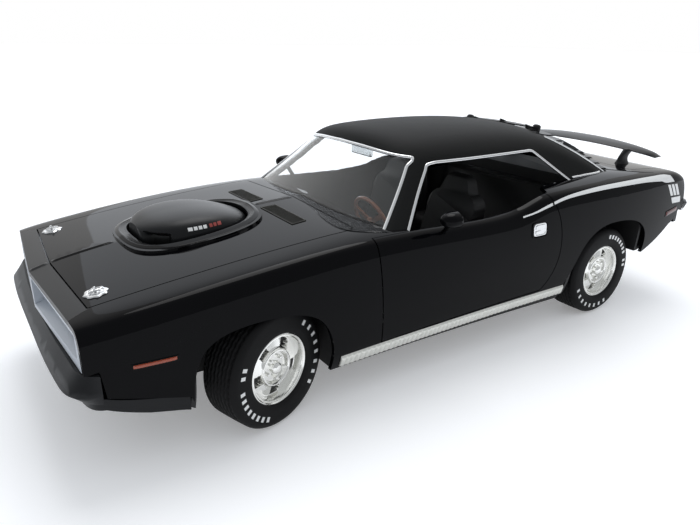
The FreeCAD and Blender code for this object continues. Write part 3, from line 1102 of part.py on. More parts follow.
# Door mirror: a rounded bullet, open face to the rear, on a foot.
mirror_spot = spot(DOOR_MIRROR_SHARES)
rings = []
for along, radius in MIRROR_RING_SHARES:
    ring_spot = mirror_spot + Vector(0, along * size["mirror_radius"], 0)
    ellipse = Part.Ellipse(ring_spot + Vector(radius * size["mirror_radius"], 0, 0),
                           ring_spot + Vector(0, 0,
                                              radius * MIRROR_TALL_SHARE * size["mirror_radius"]), ring_spot)
    rings.append(Part.Wire(ellipse.toShape()))
bullet = Part.makeLoft(rings, True, False)
if bullet.Volume < 0:
    bullet.reverse()
foot_low = spot(MIRROR_FOOT_SHARES[0])
foot_high = spot(MIRROR_FOOT_SHARES[1])
foot = cylinder(foot_low, foot_high - foot_low, size["mirror_foot"], (foot_high - foot_low).Length)
mirror = bullet.fuse(foot).cut(skin_grown)
pieces["door_mirror_left"] = biggest(mirror)

# Ribbed moulding along the sill, grown out of the side skin.
sill_area = side_prism(SILL_MOULDING_SHARES, 0, REACH)
sill_strip = lower_half(-size["moulding_height"]).cut(skin_half).common(sill_area)
groove_step = (SILL_MOULDING_SHARES[1][0][1] - SILL_MOULDING_SHARES[0][0][1]) * BELT / (SILL_GROOVES + 1)
grooves = []
for number in range(SILL_GROOVES):
    groove_low = SILL_MOULDING_SHARES[0][0][1] * BELT + groove_step * (number + 1) - size["groove_width"] / 2
    grooves.append(zone(0, REACH, -FAR, FAR, groove_low, groove_low + size["groove_width"]))
mid_skin = lower_half(-size["moulding_height"] / 2)
sill_strip = sill_strip.cut([groove.cut(mid_skin) for groove in grooves])
pieces["sill_moulding_left"] = biggest(sill_strip)

# Wing on two pedestals over the deck lid.
wing_wires = []
for x, lead, trail, level, tail_level, thick in WING_SHARES:
    front_point = Vector(x * HALF_WIDTH, lead * HALF_LENGTH, level * BELT)
    rear_point = Vector(x * HALF_WIDTH, trail * HALF_LENGTH, tail_level * BELT)
    up = AXES["z"] * (thick * size["wing_wall"] / 2)
    third = (rear_point - front_point) * WING_THICKEST_SHARE
    points = [front_point, front_point + third + up, rear_point + up / 2, rear_point - up / 2,
              front_point + third - up]
    curve = Part.BSplineCurve()
    curve.interpolate(points[:3])
    under = Part.BSplineCurve()
    under.interpolate([points[3], points[4], points[0]])
    wing_wires.append(Part.Wire([curve.toShape(), line(points[2], points[3]), under.toShape()]))
right_wires = []
for wire in reversed(wing_wires[1:]):
    right_wires.append(wire.mirror(Vector(0, 0, 0), AXES["x"]))
wing = Part.makeLoft(right_wires + wing_wires, True, False)
if wing.Volume < 0:
    wing.reverse()
pedestals = []
for side in (1, -1):
    sections = []
    for level, lead, trail, half in PEDESTAL_SHARES:
        x_mid = side * PEDESTAL_PLACE_SHARE * HALF_WIDTH
        z = level * BELT
        corners = [Vector(x_mid - half * size["pedestal_half"], lead * HALF_LENGTH, z),
                   Vector(x_mid + half * size["pedestal_half"], lead * HALF_LENGTH, z),
                   Vector(x_mid + half * size["pedestal_half"], trail * HALF_LENGTH, z),
                   Vector(x_mid - half * size["pedestal_half"], trail * HALF_LENGTH, z)]
        sections.append(Part.makePolygon(corners + [corners[0]]))
    post = ruled(sections)
    pedestals.append(post)
wing = wing.fuse(pedestals).cut(skin_grown)
pieces["rear_wing"] = biggest(wing)

for name in ("door", "fender", "body_side", "door_mirror", "sill_moulding"):
    pieces[name + "_right"] = mirrored(pieces[name + "_left"])

# Front axle: crossmember with kingpins, knuckles, tie rod.
kingpin = Vector(size["kingpin_x"], -size["front_axle"], size["axle_height"])
post_radius = size["knuckle_radius"]
fork = size["fork_half_height"]
fork_wall = size["fork_wall"]
plate_in = CROSSMEMBER_HALF_SHARE * HALF_WIDTH
half_arm = post_radius
low_level = kingpin.z - fork - fork_wall
crossmember = box(Vector(-plate_in, kingpin.y - half_arm, low_level),
                  Vector(plate_in, kingpin.y + half_arm, low_level + fork_wall))
for side in (1, -1):
    outer_x = side * plate_in
    inner_x = side * (plate_in - fork_wall)
    plate = box(Vector(min(outer_x, inner_x), kingpin.y - half_arm, low_level),
                Vector(max(outer_x, inner_x), kingpin.y + half_arm, kingpin.z + fork + fork_wall))
    crossmember = crossmember.fuse(plate)
    for level in (low_level, kingpin.z + fork):
        arm_box = box(Vector(min(inner_x, side * kingpin.x), kingpin.y - half_arm, level),
                      Vector(max(inner_x, side * kingpin.x), kingpin.y + half_arm, level + fork_wall))
        crossmember = crossmember.fuse([arm_box, cylinder(Vector(side * kingpin.x, kingpin.y, level),
                                                          AXES["z"],
                                                          half_arm, fork_wall)])
    crossmember = crossmember.fuse(cylinder(Vector(side * kingpin.x, kingpin.y, low_level), AXES["z"],
                                            size["kingpin_radius"], 2 * fork + 2 * fork_wall))
pieces["front_crossmember"] = biggest(crossmember.removeSplitter())


def steered(side):
    """Placement of what turns with a front wheel, parked turned to the left."""
    pivot = Vector(side * kingpin.x, kingpin.y, kingpin.z)
    return Placement(pivot, Rotation(AXES["z"], size["steer_angle"]))


arm_level = -size["steering_arm_drop"]
track_reach = size["front_half_track"] - size["kingpin_x"]
STEERING_ARM_LENGTHS = [(a * track_reach, b * track_reach) for a, b in STEERING_ARM_SHARES]
knuckle_ends = []
for side, name in ((1, "left"), (-1, "right")):
    post = cylinder(Vector(0, 0, GAP - fork), AXES["z"], post_radius, 2 * fork - 2 * GAP)
    spindle = cylinder(Vector(0, 0, 0), AXES["x"] * side, size["spindle_radius"], size["spindle_length"])
    path = [(side * a, b) for a, b in STEERING_ARM_LENGTHS]
    lever = strip(path, size["steering_arm_half"], lambda a, b: Vector(a, b, arm_level),
                  Vector(0, 0, fork_wall))
    bore = cylinder(Vector(0, 0, -fork), AXES["z"], size["kingpin_radius"] + FIT, 2 * fork)
    end = Vector(side * STEERING_ARM_LENGTHS[2][0], STEERING_ARM_LENGTHS[2][1], 0)
    stud = cylinder(Vector(end.x, end.y, arm_level), AXES["z"], size["stud_radius"], 2 * fork_wall + GAP)
    knuckle = biggest(post.fuse([spindle, lever, stud]).cut(bore))
    knuckle.Placement = steered(side)
    pieces["knuckle_" + name] = knuckle
    knuckle_ends.append(steered(side).multVec(end))
rod_level = kingpin.z + arm_level + fork_wall + FIT
rod_points = [(point.x, point.y) for point in knuckle_ends]
rod = strip(rod_points, size["tie_rod_half"], lambda a, b: Vector(a, b, rod_level), Vector(0, 0, fork_wall))
for point, clear in ((knuckle_ends[0], FIT), (knuckle_ends[1], size["rod_play"])):
    rod = rod.fuse(cylinder(Vector(point.x, point.y, rod_level), AXES["z"],
                            size["stud_radius"] + clear + size["eye_wall"],
                            fork_wall))
for point, clear in ((knuckle_ends[0], FIT), (knuckle_ends[1], size["rod_play"])):
    rod = rod.cut(cylinder(Vector(point.x, point.y, rod_level - OVER), AXES["z"],
                           size["stud_radius"] + clear,
                           2 * OVER))
pieces["tie_rod"] = biggest(rod)

nodes = []


def total(words):
    """Number for a sum of sheet names such as rim_radius - rim_wall."""
    result, sign = 0.0, 1
    for word in words.split():
        if word in "+-":
            sign = 1 if word == "+" else -1
        else:
            result += sign * size[word]
    return result


def bound(words):
    """The same sum as an expression over the sheet."""
    return " ".join(word if word in "+-" else "sizes." + word for word in words.split())


def plane(body, role):
    return next(item for item in body.Origin.OriginFeatures if item.Role == role)


def bound_outline(body, name, corners):
    """Closed sketch on the XY plane, each corner tied to the sheet.

    A corner is a pair of sums; an empty one lies on the axis.
    """
    sketch = body.newObject("Sketcher::SketchObject", name)
    sketch.AttachmentSupport = [(plane(body, "XY_Plane"), "")]
    sketch.MapMode = "FlatFace"
    points = [Vector(total(a), total(b), 0) for a, b in corners]
    for number, point in enumerate(points):
        sketch.addGeometry(Part.LineSegment(point, points[(number + 1) % len(points)]))
    for number, (a, b) in enumerate(corners):
        follower = (number + 1) % len(corners)
        sketch.addConstraint(Sketcher.Constraint("Coincident", number, 2, follower, 1))
    for number, (a, b) in enumerate(corners):
        for kind, words, axis in (("DistanceX", a, -2), ("DistanceY", b, -1)):
            if words:
                index = sketch.addConstraint(Sketcher.Constraint(kind, -1, 1, number, 1, total(words)))
                sketch.setExpression("Constraints[%d]" % index, bound(words))
            else:
                sketch.addConstraint(Sketcher.Constraint("PointOnObject", number, 1, axis))
    return sketch


def revolved(name, corners):
    """Body turned about its X axis from an outline."""
    body = doc.addObject("PartDesign::Body", name)
    sketch = bound_outline(body, name + "_outline", corners)
    turn = body.newObject("PartDesign::Revolution", name + "_turn")
    turn.Profile = sketch
    turn.ReferenceAxis = (sketch, ["H_Axis"])
    turn.Angle = 360
    doc.recompute()
    return body


TYRE_OUTLINE = [("tread_side", "rim_radius + fit_gap"), ("tyre_width - tread_side", "rim_radius + fit_gap"),
                ("tyre_width", "rim_radius + wall_bulge"), ("tyre_width", "tyre_radius - shoulder_drop"),
                ("tyre_width - shoulder_width", "tyre_radius"), ("shoulder_width", "tyre_radius"),
                ("", "tyre_radius - shoulder_drop"), ("", "rim_radius + wall_bulge")]
RIM_OUTLINE = [("hub_start", "spindle_radius + fit_gap"), ("hub_start", "hub_radius"),
               ("disc_start", "hub_radius"),
               ("disc_start", "rim_radius - rim_wall"), ("rim_start", "rim_radius - rim_wall"),
               ("rim_start", "rim_radius"), ("rim_end", "rim_radius"), ("rim_end", "rim_radius - rim_wall"),
               ("disc_start + disc_wall", "rim_radius - rim_wall"), ("disc_start + disc_wall",
                                                                     "hub_radius"),
               ("cap_end", "hub_radius"), ("cap_end", ""), ("cap_start", ""),
               ("cap_start", "spindle_radius + fit_gap")]
for corner, side, front in (("fl", 1, True), ("fr", -1, True), ("rl", 1, False), ("rr", -1, False)):
    tyre = revolved("tyre_" + corner, TYRE_OUTLINE)
    rim = revolved("rim_" + corner, RIM_OUTLINE)
    sketch = rim.newObject("Sketcher::SketchObject", "slot_" + corner)
    sketch.AttachmentSupport = [(plane(rim, "YZ_Plane"), "")]
    sketch.MapMode = "FlatFace"
    low, high, half = size["slot_inner"], size["slot_outer"], size["slot_half"]
    sketch.addGeometry([Part.LineSegment(Vector(-half, low, 0), Vector(-half, high, 0)),
                        Part.ArcOfCircle(Part.Circle(Vector(0, high, 0), AXES["z"], half), 0, math.pi),
                        Part.LineSegment(Vector(half, high, 0), Vector(half, low, 0)),
                        Part.ArcOfCircle(Part.Circle(Vector(0, low, 0), AXES["z"], half), math.pi,
                                         2 * math.pi)])
    for first, first_end, second, second_end in ((0, 2, 1, 2), (1, 1, 2, 1), (2, 2, 3, 2), (3, 1, 0, 1)):
        sketch.addConstraint(Sketcher.Constraint("Tangent", first, first_end, second, second_end))
    sketch.addConstraint(Sketcher.Constraint("PointOnObject", 1, 3, -2))
    sketch.addConstraint(Sketcher.Constraint("PointOnObject", 3, 3, -2))
    for kind, where, words in (("DistanceY", (-1, 1, 1, 3), "slot_outer"),
                               ("DistanceY", (-1, 1, 3, 3), "slot_inner"),
                               ("Radius", (1,), "slot_half")):
        index = sketch.addConstraint(Sketcher.Constraint(kind, *where, total(words)))
        sketch.setExpression("Constraints[%d]" % index, bound(words))
    pocket_cut = rim.newObject("PartDesign::Pocket", "slot_cut_" + corner)
    pocket_cut.Profile = sketch
    pocket_cut.Type = 1
    pocket_cut.Midplane = True
    pattern = rim.newObject("PartDesign::PolarPattern", "slots_" + corner)
    pattern.Originals = [pocket_cut]
    pattern.Axis = (plane(rim, "X_Axis"), [""])
    pattern.Angle = 360
    pattern.Occurrences = 5
    rim.Tip = pattern
    half_track = size["front_half_track"] if front else size["rear_half_track"]
    if front:
        offset = half_track - size["kingpin_x"] - size["tyre_width"] / 2
        base = steered(side)
    else:
        offset = half_track - size["tyre_width"] / 2
        base = Placement(Vector(0, size["rear_axle_y"], size["axle_height"]), Rotation())
    turned = Placement(Vector(side * offset, 0, 0), Rotation(AXES["z"], 0 if side == 1 else 180))
    for body in (tyre, rim):
        body.Placement = base.multiply(turned)
        nodes.append(body)
doc.recompute()


def primitive(kind, name, place, **words):
    """Part primitive whose sizes and place are sums of sheet names."""
    piece = doc.addObject(kind, name)
    for key, value in words.items():
        piece.setExpression(key, bound(value))
    for axis, value in zip("xyz", place):
        if value:
            piece.setExpression("Placement.Base." + axis, bound(value))
    return piece


def joined(kind, name, items):
    whole = doc.addObject(kind, name)
    whole.Shapes = items
    return whole


# Rear axle: spindle through both wheels, tube and differential.
spindle_rod = primitive("Part::Cylinder", "rear_spindle", ("", "rear_axle_y", "axle_height"),
                        Radius="spindle_radius", Height="rear_reach + rear_reach")
tube_rod = primitive("Part::Cylinder", "axle_tube", ("", "rear_axle_y", "axle_height"),
                     Radius="axle_tube_radius", Height="axle_tube_reach + axle_tube_reach")
for rod_piece, reach in ((spindle_rod, "rear_reach"), (tube_rod, "axle_tube_reach")):
    rod_piece.Placement = Placement(Vector(0, 0, 0), Rotation(AXES["y"], 90))
    rod_piece.setExpression("Placement.Base.x", "-sizes." + reach)
    rod_piece.setExpression("Placement.Base.y", "sizes.rear_axle_y")
    rod_piece.setExpression("Placement.Base.z", "sizes.axle_height")
housing = primitive("Part::Sphere", "differential", ("", "rear_axle_y", "axle_height"),
                    Radius="differential_radius")
rear_axle = joined("Part::MultiFuse", "rear_axle", [spindle_rod, tube_rod, housing])
nodes.append(rear_axle)

# Engine: one plain block under the scoop.
engine = primitive("Part::Box", "engine", ("", "", "engine_foot"), Length="engine_width",
                   Width="engine_length",
                   Height="scoop_foot - engine_foot - fit_gap")
engine.setExpression("Placement.Base.x", "-sizes.engine_width / 2")
engine.setExpression("Placement.Base.y", "-sizes.scoop_centre - sizes.engine_length / 2")
nodes.append(engine)

# Exhaust: two pipes under the pan, joined by a cross pipe.
pipe_start = spot(EXHAUST_SHARES[0])
pipe_end = spot(EXHAUST_SHARES[1])
pipe = cylinder(pipe_start, pipe_end - pipe_start, size["pipe_radius"], (pipe_end - pipe_start).Length)
muffler = cylinder(spot(MUFFLER_SHARES[0]), AXES["y"], size["muffler_radius"],
                   spot(MUFFLER_SHARES[1]).y - spot(MUFFLER_SHARES[0]).y)
cross_pipe = cylinder(Vector(-pipe_start.x, spot(CROSS_PIPE_SHARES).y, pipe_start.z), AXES["x"],
                      size["pipe_radius"], 2 * pipe_start.x)
pieces["exhaust"] = biggest(pipe.fuse([muffler, mirrored(pipe), mirrored(muffler), cross_pipe]))

for name, shape in pieces.items():
    piece = doc.addObject("Part::Feature", name)
    piece.Shape = shape
    nodes.append(piece)
doc.recompute()

for item in doc.Objects:
    bad = [state for state in item.State if state in ("Invalid", "Error")]
    if bad:
        raise RuntimeError("%s is %s" % (item.Name, bad))
for piece in nodes:
    piece.Label = piece.Name
    if piece.Shape.isNull() or not piece.Shape.isValid():
        raise RuntimeError("%s has no valid shape" % piece.Name)
    if len(piece.Shape.Solids) != 1:
        raise RuntimeError("%s has %d solids" % (piece.Name, len(piece.Shape.Solids)))

os.makedirs("parts", exist_ok=True)
for piece in nodes:
    piece.Shape.exportStep("parts/%s.step" % piece.Label)
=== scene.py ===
import json
import math

import bmesh
import bpy
import numpy as np
from mathutils import Matrix, Vector


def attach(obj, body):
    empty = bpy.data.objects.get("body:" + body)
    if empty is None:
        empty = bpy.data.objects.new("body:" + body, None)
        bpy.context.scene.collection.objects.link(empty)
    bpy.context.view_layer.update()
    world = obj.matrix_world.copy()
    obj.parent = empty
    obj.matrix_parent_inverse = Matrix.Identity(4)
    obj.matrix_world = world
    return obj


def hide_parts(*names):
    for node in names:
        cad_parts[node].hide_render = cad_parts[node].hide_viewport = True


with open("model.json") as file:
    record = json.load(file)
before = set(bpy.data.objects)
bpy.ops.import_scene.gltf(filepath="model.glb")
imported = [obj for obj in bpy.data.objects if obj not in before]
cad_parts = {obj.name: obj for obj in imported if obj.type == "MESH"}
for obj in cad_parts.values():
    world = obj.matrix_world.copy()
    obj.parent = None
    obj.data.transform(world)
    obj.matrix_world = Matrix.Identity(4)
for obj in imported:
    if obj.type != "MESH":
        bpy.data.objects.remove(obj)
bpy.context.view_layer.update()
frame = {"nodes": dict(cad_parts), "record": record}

bl_info = {
    "name": "Muscle car model",
    "version": (1, 0, 0),
    "blender": (4, 5, 0),
    "location": "3D View > Sidebar > Model car",
    "description": "Dresses the packed model car with paint, chrome, glass, tyres and trim",
    "category": "Object",
}

MM = 0.001
HALF_WIDTH = 52.5 * MM
HALF_LENGTH = 133.0 * MM
BELT = 55.0 * MM
SIDES = (("left", 1.0), ("right", -1.0))
CORNERS = ("fl", "fr", "rl", "rr")
PLASTIC_IOR, GLASS_IOR = 1.5, 1.45

# The model's finishes by name. Some packed materials in bpy.data.materials
# have the same names, so every piece takes its finish from here.
FINISHES = {}


def new_group(name, inputs, outputs):
    """Empty shader group; sockets are (name, kind, default)."""
    group = bpy.data.node_groups.new(name, "ShaderNodeTree")
    for label, kind, value in inputs:
        socket = group.interface.new_socket(label, in_out="INPUT", socket_type=kind)
        socket.default_value = value
    for label, kind in outputs:
        group.interface.new_socket(label, in_out="OUTPUT", socket_type=kind)
    return group


def grain_group():
    """Fine and broad noise over the piece: colour, roughness and height."""
    group = new_group("surface_grain",
                      [("Color", "NodeSocketColor", (0.5, 0.5, 0.5, 1.0)),
                       ("Color spread", "NodeSocketFloat", 0.1),
                       ("Roughness", "NodeSocketFloat", 0.4),
                       ("Roughness spread", "NodeSocketFloat", 0.1),
                       ("Scale", "NodeSocketFloat", 900.0),
                       ("Broad scale", "NodeSocketFloat", 35.0)],
                      [("Color", "NodeSocketColor"), ("Roughness", "NodeSocketFloat"),
                       ("Height", "NodeSocketFloat")])
    nodes, links = group.nodes, group.links
    source = nodes.new("NodeGroupInput")
    result = nodes.new("NodeGroupOutput")
    place = nodes.new("ShaderNodeTexCoord")
    fine = nodes.new("ShaderNodeTexNoise")
    fine.inputs["Detail"].default_value = 3.0
    broad = nodes.new("ShaderNodeTexNoise")
    broad.inputs["Detail"].default_value = 2.0
    links.new(place.outputs["Object"], fine.inputs["Vector"])
    links.new(place.outputs["Object"], broad.inputs["Vector"])
    links.new(source.outputs["Scale"], fine.inputs["Scale"])
    links.new(source.outputs["Broad scale"], broad.inputs["Scale"])

    def arithmetic(kind, first, second, third=None):
        node = nodes.new("ShaderNodeMath")
        node.operation = kind
        for number, value in enumerate((first, second, third)):
            if value is None:
                continue
            if isinstance(value, float):
                node.inputs[number].default_value = value
            else:
                links.new(value, node.inputs[number])
        return node.outputs[0]

    blend = arithmetic("ADD", arithmetic("MULTIPLY", fine.outputs["Fac"], 0.5),
                       arithmetic("MULTIPLY", broad.outputs["Fac"], 0.5))
    centred = arithmetic("SUBTRACT", blend, 0.5)
    gain = arithmetic("MULTIPLY_ADD", centred, source.outputs["Color spread"], 1.0)
    tint = nodes.new("ShaderNodeVectorMath")
    tint.operation = "SCALE"
    links.new(source.outputs["Color"], tint.inputs[0])
    links.new(gain, tint.inputs["Scale"])
    links.new(tint.outputs["Vector"], result.inputs["Color"])
    rough = arithmetic("MULTIPLY_ADD", centred, source.outputs["Roughness spread"],
                       source.outputs["Roughness"])
    links.new(rough, result.inputs["Roughness"])
    links.new(fine.outputs["Fac"], result.inputs["Height"])
    return group


def finish(name, color, roughness, spread=0.2, rough_spread=0.1, scale=900.0, broad=35.0, bump=0.0,
           bump_distance=0.0001, metallic=0.0, coat=0.0, coat_roughness=0.03, coat_ior=PLASTIC_IOR,
           specular=0.5):
    """Opaque finish: the shared grain in front of one Principled shader."""
    material = bpy.data.materials.new(name)
    material.use_nodes = True
    nodes, links = material.node_tree.nodes, material.node_tree.links
    shader = nodes["Principled BSDF"]
    grain = nodes.new("ShaderNodeGroup")
    grain.node_tree = bpy.data.node_groups["surface_grain"]
    grain.name = "grain"
    values = {"Color": (*color, 1.0), "Color spread": spread, "Roughness": roughness,
              "Roughness spread": rough_spread, "Scale": scale, "Broad scale": broad}
    for label, value in values.items():
        grain.inputs[label].default_value = value
    links.new(grain.outputs["Color"], shader.inputs["Base Color"])
    links.new(grain.outputs["Roughness"], shader.inputs["Roughness"])
    if bump:
        relief = nodes.new("ShaderNodeBump")
        relief.inputs["Strength"].default_value = bump
        relief.inputs["Distance"].default_value = bump_distance
        links.new(grain.outputs["Height"], relief.inputs["Height"])
        links.new(relief.outputs["Normal"], shader.inputs["Normal"])
    for label, value in {"Metallic": metallic, "Coat Weight": coat, "Coat Roughness": coat_roughness,
                         "Coat IOR": coat_ior, "IOR": PLASTIC_IOR, "Specular IOR Level": specular}.items():
        shader.inputs[label].default_value = value
    material.diffuse_color = (*color, 1.0)
    return material


def glass(name, color, roughness=0.02):
    """Clear moulding: plain transmission with a faint tint."""
    material = bpy.data.materials.new(name)
    material.use_nodes = True
    shader = material.node_tree.nodes["Principled BSDF"]
    shader.inputs["Base Color"].default_value = (*color, 1.0)
    shader.inputs["Roughness"].default_value = roughness
    shader.inputs["Transmission Weight"].default_value = 1.0
    shader.inputs["IOR"].default_value = GLASS_IOR
    material.diffuse_color = (*color, 0.4)
    return material


# Meshes made from arrays.

def unit(vectors):
    """The same directions at length one."""
    return vectors / np.linalg.norm(vectors, axis=-1, keepdims=True)


def grid_quads(rows, columns, close_rows=False, close_columns=False, start=0):
    """Corner numbers of the quads of a grid, rows by columns."""
    i = np.arange(rows if close_rows else rows - 1)
    j = np.arange(columns if close_columns else columns - 1)
    i, j = np.meshgrid(i, j, indexing="ij")
    near, far = (j % columns), ((j + 1) % columns)
    low, high = (i % rows) * columns, ((i + 1) % rows) * columns
    return np.stack([low + near, high + near, high + far, low + far], -1).reshape(-1, 4) + start


class Shape:
    """Points and faces gathered from several grids, with a material each."""

    def __init__(self):
        self.points = []
        self.faces = []
        self.kinds = []
        self.count = 0

    def grid(self, points, kind=0, close_rows=False, close_columns=False):
        """A sheet of quads over a grid of points; kind may differ per quad."""
        rows, columns = points.shape[:2]
        quads = grid_quads(rows, columns, close_rows, close_columns, self.count)
        self.points.append(points.reshape(-1, 3))
        self.faces += quads.tolist()
        self.kinds.append(np.broadcast_to(kind, len(quads)))
        self.count += rows * columns
        return self

    def cap(self, ring, kind=0):
        """One flat face over a closed ring of points."""
        self.points.append(ring)
        self.faces.append(list(range(self.count, self.count + len(ring))))
        self.kinds.append(np.array([kind]))
        self.count += len(ring)
        return self

    def slab(self, outer, inner, kind=0):
        """Closed sheet: two grids of points, joined all round their borders."""
        self.grid(outer, kind).grid(inner, kind)
        for a, b in ((outer[0], inner[0]), (outer[-1], inner[-1]), (outer[:, 0], inner[:, 0]),
                     (outer[:, -1], inner[:, -1])):
            self.grid(np.stack([a, b]), kind)
        return self

    def bar(self, path, profile, lift):
        """Profile (across, up) carried along a path: path + across * side + up * rise."""
        ahead = unit(np.gradient(path, axis=0))
        side = unit(np.cross(ahead, np.broadcast_to(lift, path.shape)))
        rise = np.cross(side, ahead)
        across, up = np.asarray(profile, float).T[:, :, None]
        points = path[:, None] + across * side[:, None] + up * rise[:, None]
        return self.grid(points, close_columns=True).cap(points[0]).cap(points[-1])

    def lathe(self, profile, place, count):
        """Profile (radius, height) turned about Z, then carried by place."""
        angle = np.linspace(0, 2 * np.pi, count, endpoint=False)[:, None]
        radius, height = np.asarray(profile, float).T
        points = np.stack([radius * np.cos(angle), radius * np.sin(angle), height + 0 * angle], -1)
        return self.grid(place(points), close_rows=True)

    def mirror(self):
        """The same pieces again on the other side of the middle plane."""
        points = [part * (-1, 1, 1) for part in self.points]
        self.faces += [[self.count + k for k in face[::-1]] for face in self.faces]
        self.points += points
        self.kinds += list(self.kinds)
        self.count *= 2
        return self

    def make(self, name, materials, body, slot, smooth=30.0, nodes=()):
        """Mesh object with merged doubles, outward faces and a body."""
        mesh = bpy.data.meshes.new(name)
        mesh.from_pydata(np.concatenate(self.points), [], self.faces)
        for material in materials:
            mesh.materials.append(FINISHES[material])
        mesh.polygons.foreach_set("material_index", np.concatenate(self.kinds).astype(np.int32))
        tidy_mesh(mesh, smooth)
        obj = bpy.data.objects.new(name, mesh)
        bpy.context.scene.collection.objects.link(obj)
        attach(obj, body)
        if nodes:
            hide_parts(*nodes)
        return obj


def frame_at(place, up, ahead):
    """Carries local points to a place: local Z to up, local X near to ahead."""
    up = np.asarray(up, float) / np.linalg.norm(up)
    side = np.cross(up, ahead)
    side = side / np.linalg.norm(side)
    matrix = np.stack([np.cross(side, up), side, up])
    return lambda points: np.asarray(points) @ matrix + place


def cubic(a, b, c, d, t):
    """Point at share t of the way from b to c: the cubic of four neighbours (Catmull-Rom)."""
    return 0.5 * (2 * b + (c - a) * t + (2 * a - 5 * b + 4 * c - d) * t ** 2
                  + (3 * b - a - 3 * c + d) * t ** 3)


def smooth_path(points, count):
    """Smooth open curve through points, each span a cubic."""
    points = np.asarray(points, float)
    padded = np.concatenate([2 * points[:1] - points[1:2], points, 2 * points[-1:] - points[-2:-1]])
    at = np.linspace(0, len(points) - 1, count)
    k = np.minimum(at.astype(int), len(points) - 2)
    return cubic(*(padded[k + n] for n in range(4)), (at - k)[:, None])


def smooth_loop(points, count):
    """Smooth closed curve through points, each span a cubic."""
    points = np.asarray(points, float)
    at = np.arange(count) * len(points) / count
    k = at.astype(int)
    return cubic(*(points[(k + n) % len(points)] for n in (-1, 0, 1, 2)), (at - k)[:, None])


def round_profile(half, height, count=12):
    """Flattened half-round moulding section, foot slightly sunk."""
    angle = np.linspace(0, np.pi, count)
    arc = np.stack([half * np.cos(angle), height * np.sin(angle) ** 0.7], -1)
    foot = np.array([[-half, -0.3 * height], [half, -0.3 * height]])
    return np.concatenate([arc, foot])


def tidy_mesh(mesh, smooth, outward=True):
    """Merge doubles, drop empty faces, turn faces outwards, mark creases."""
    work = bmesh.new()
    work.from_mesh(mesh)
    bmesh.ops.remove_doubles(work, verts=work.verts, dist=0.5e-5)
    bmesh.ops.dissolve_degenerate(work, edges=work.edges, dist=1e-6)
    if outward:
        bmesh.ops.recalc_face_normals(work, faces=work.faces)
    work.to_mesh(mesh)
    work.free()
    mesh.shade_smooth()
    mesh.set_sharp_from_angle(angle=math.radians(smooth))


# Skins of the body and the glasshouse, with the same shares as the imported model.

# Lines plan of the lower body, one row for each station from nose to tail:
# place along the length, half width at the waist, height of the shoulder,
# of the hood or deck edge, and of the centre line, as shares of
# HALF_LENGTH, HALF_WIDTH and the belt height.
STATION_SHARES = [
    (-1.000, 0.907, 0.771, 0.778, 0.785),
    (-0.962, 0.933, 0.796, 0.805, 0.818),
    (-0.887, 0.960, 0.820, 0.831, 0.855),
    (-0.752, 0.981, 0.862, 0.873, 0.902),
    (-0.602, 0.990, 0.900, 0.913, 0.945),
    (-0.451, 0.985, 0.927, 0.945, 0.978),
    (-0.323, 0.977, 0.935, 0.967, 0.996),
    (-0.188, 0.975, 0.931, 0.956, 0.985),
    (-0.038, 0.977, 0.918, 0.942, 0.971),
    (0.090, 0.981, 0.916, 0.942, 0.971),
    (0.165, 0.987, 0.935, 0.964, 0.993),
    (0.233, 0.992, 0.996, 1.022, 1.040),
    (0.308, 0.998, 1.016, 1.044, 1.062),
    (0.436, 1.010, 1.020, 1.058, 1.076),
    (0.571, 1.015, 1.018, 1.062, 1.084),
    (0.692, 1.010, 1.015, 1.047, 1.073),
    (0.797, 0.996, 1.009, 1.029, 1.051),
    (0.887, 0.975, 0.998, 1.011, 1.029),
    (0.947, 0.956, 0.982, 0.989, 1.004),
    (0.989, 0.941, 0.927, 0.935, 0.945),
]
# Section of the lower body from sill to centre line. Side rows give the
# share of the waist half width and the share of the rise from sill to waist
# or from waist to shoulder. Top rows give the share of the half width and
# of the rise from hood edge to centre line.
LOW_ROW_SHARES = [(0.930, 0.0), (0.962, 0.17), (0.988, 0.50), (1.0, 1.0)]
HIGH_ROW_SHARES = [(0.998, 0.36), (0.985, 0.74), (0.957, 0.97), (0.905, 1.02)]
TOP_ROW_SHARES = [(0.790, 0.0), (0.560, 0.25), (0.270, 0.60), (0.0, 1.0)]

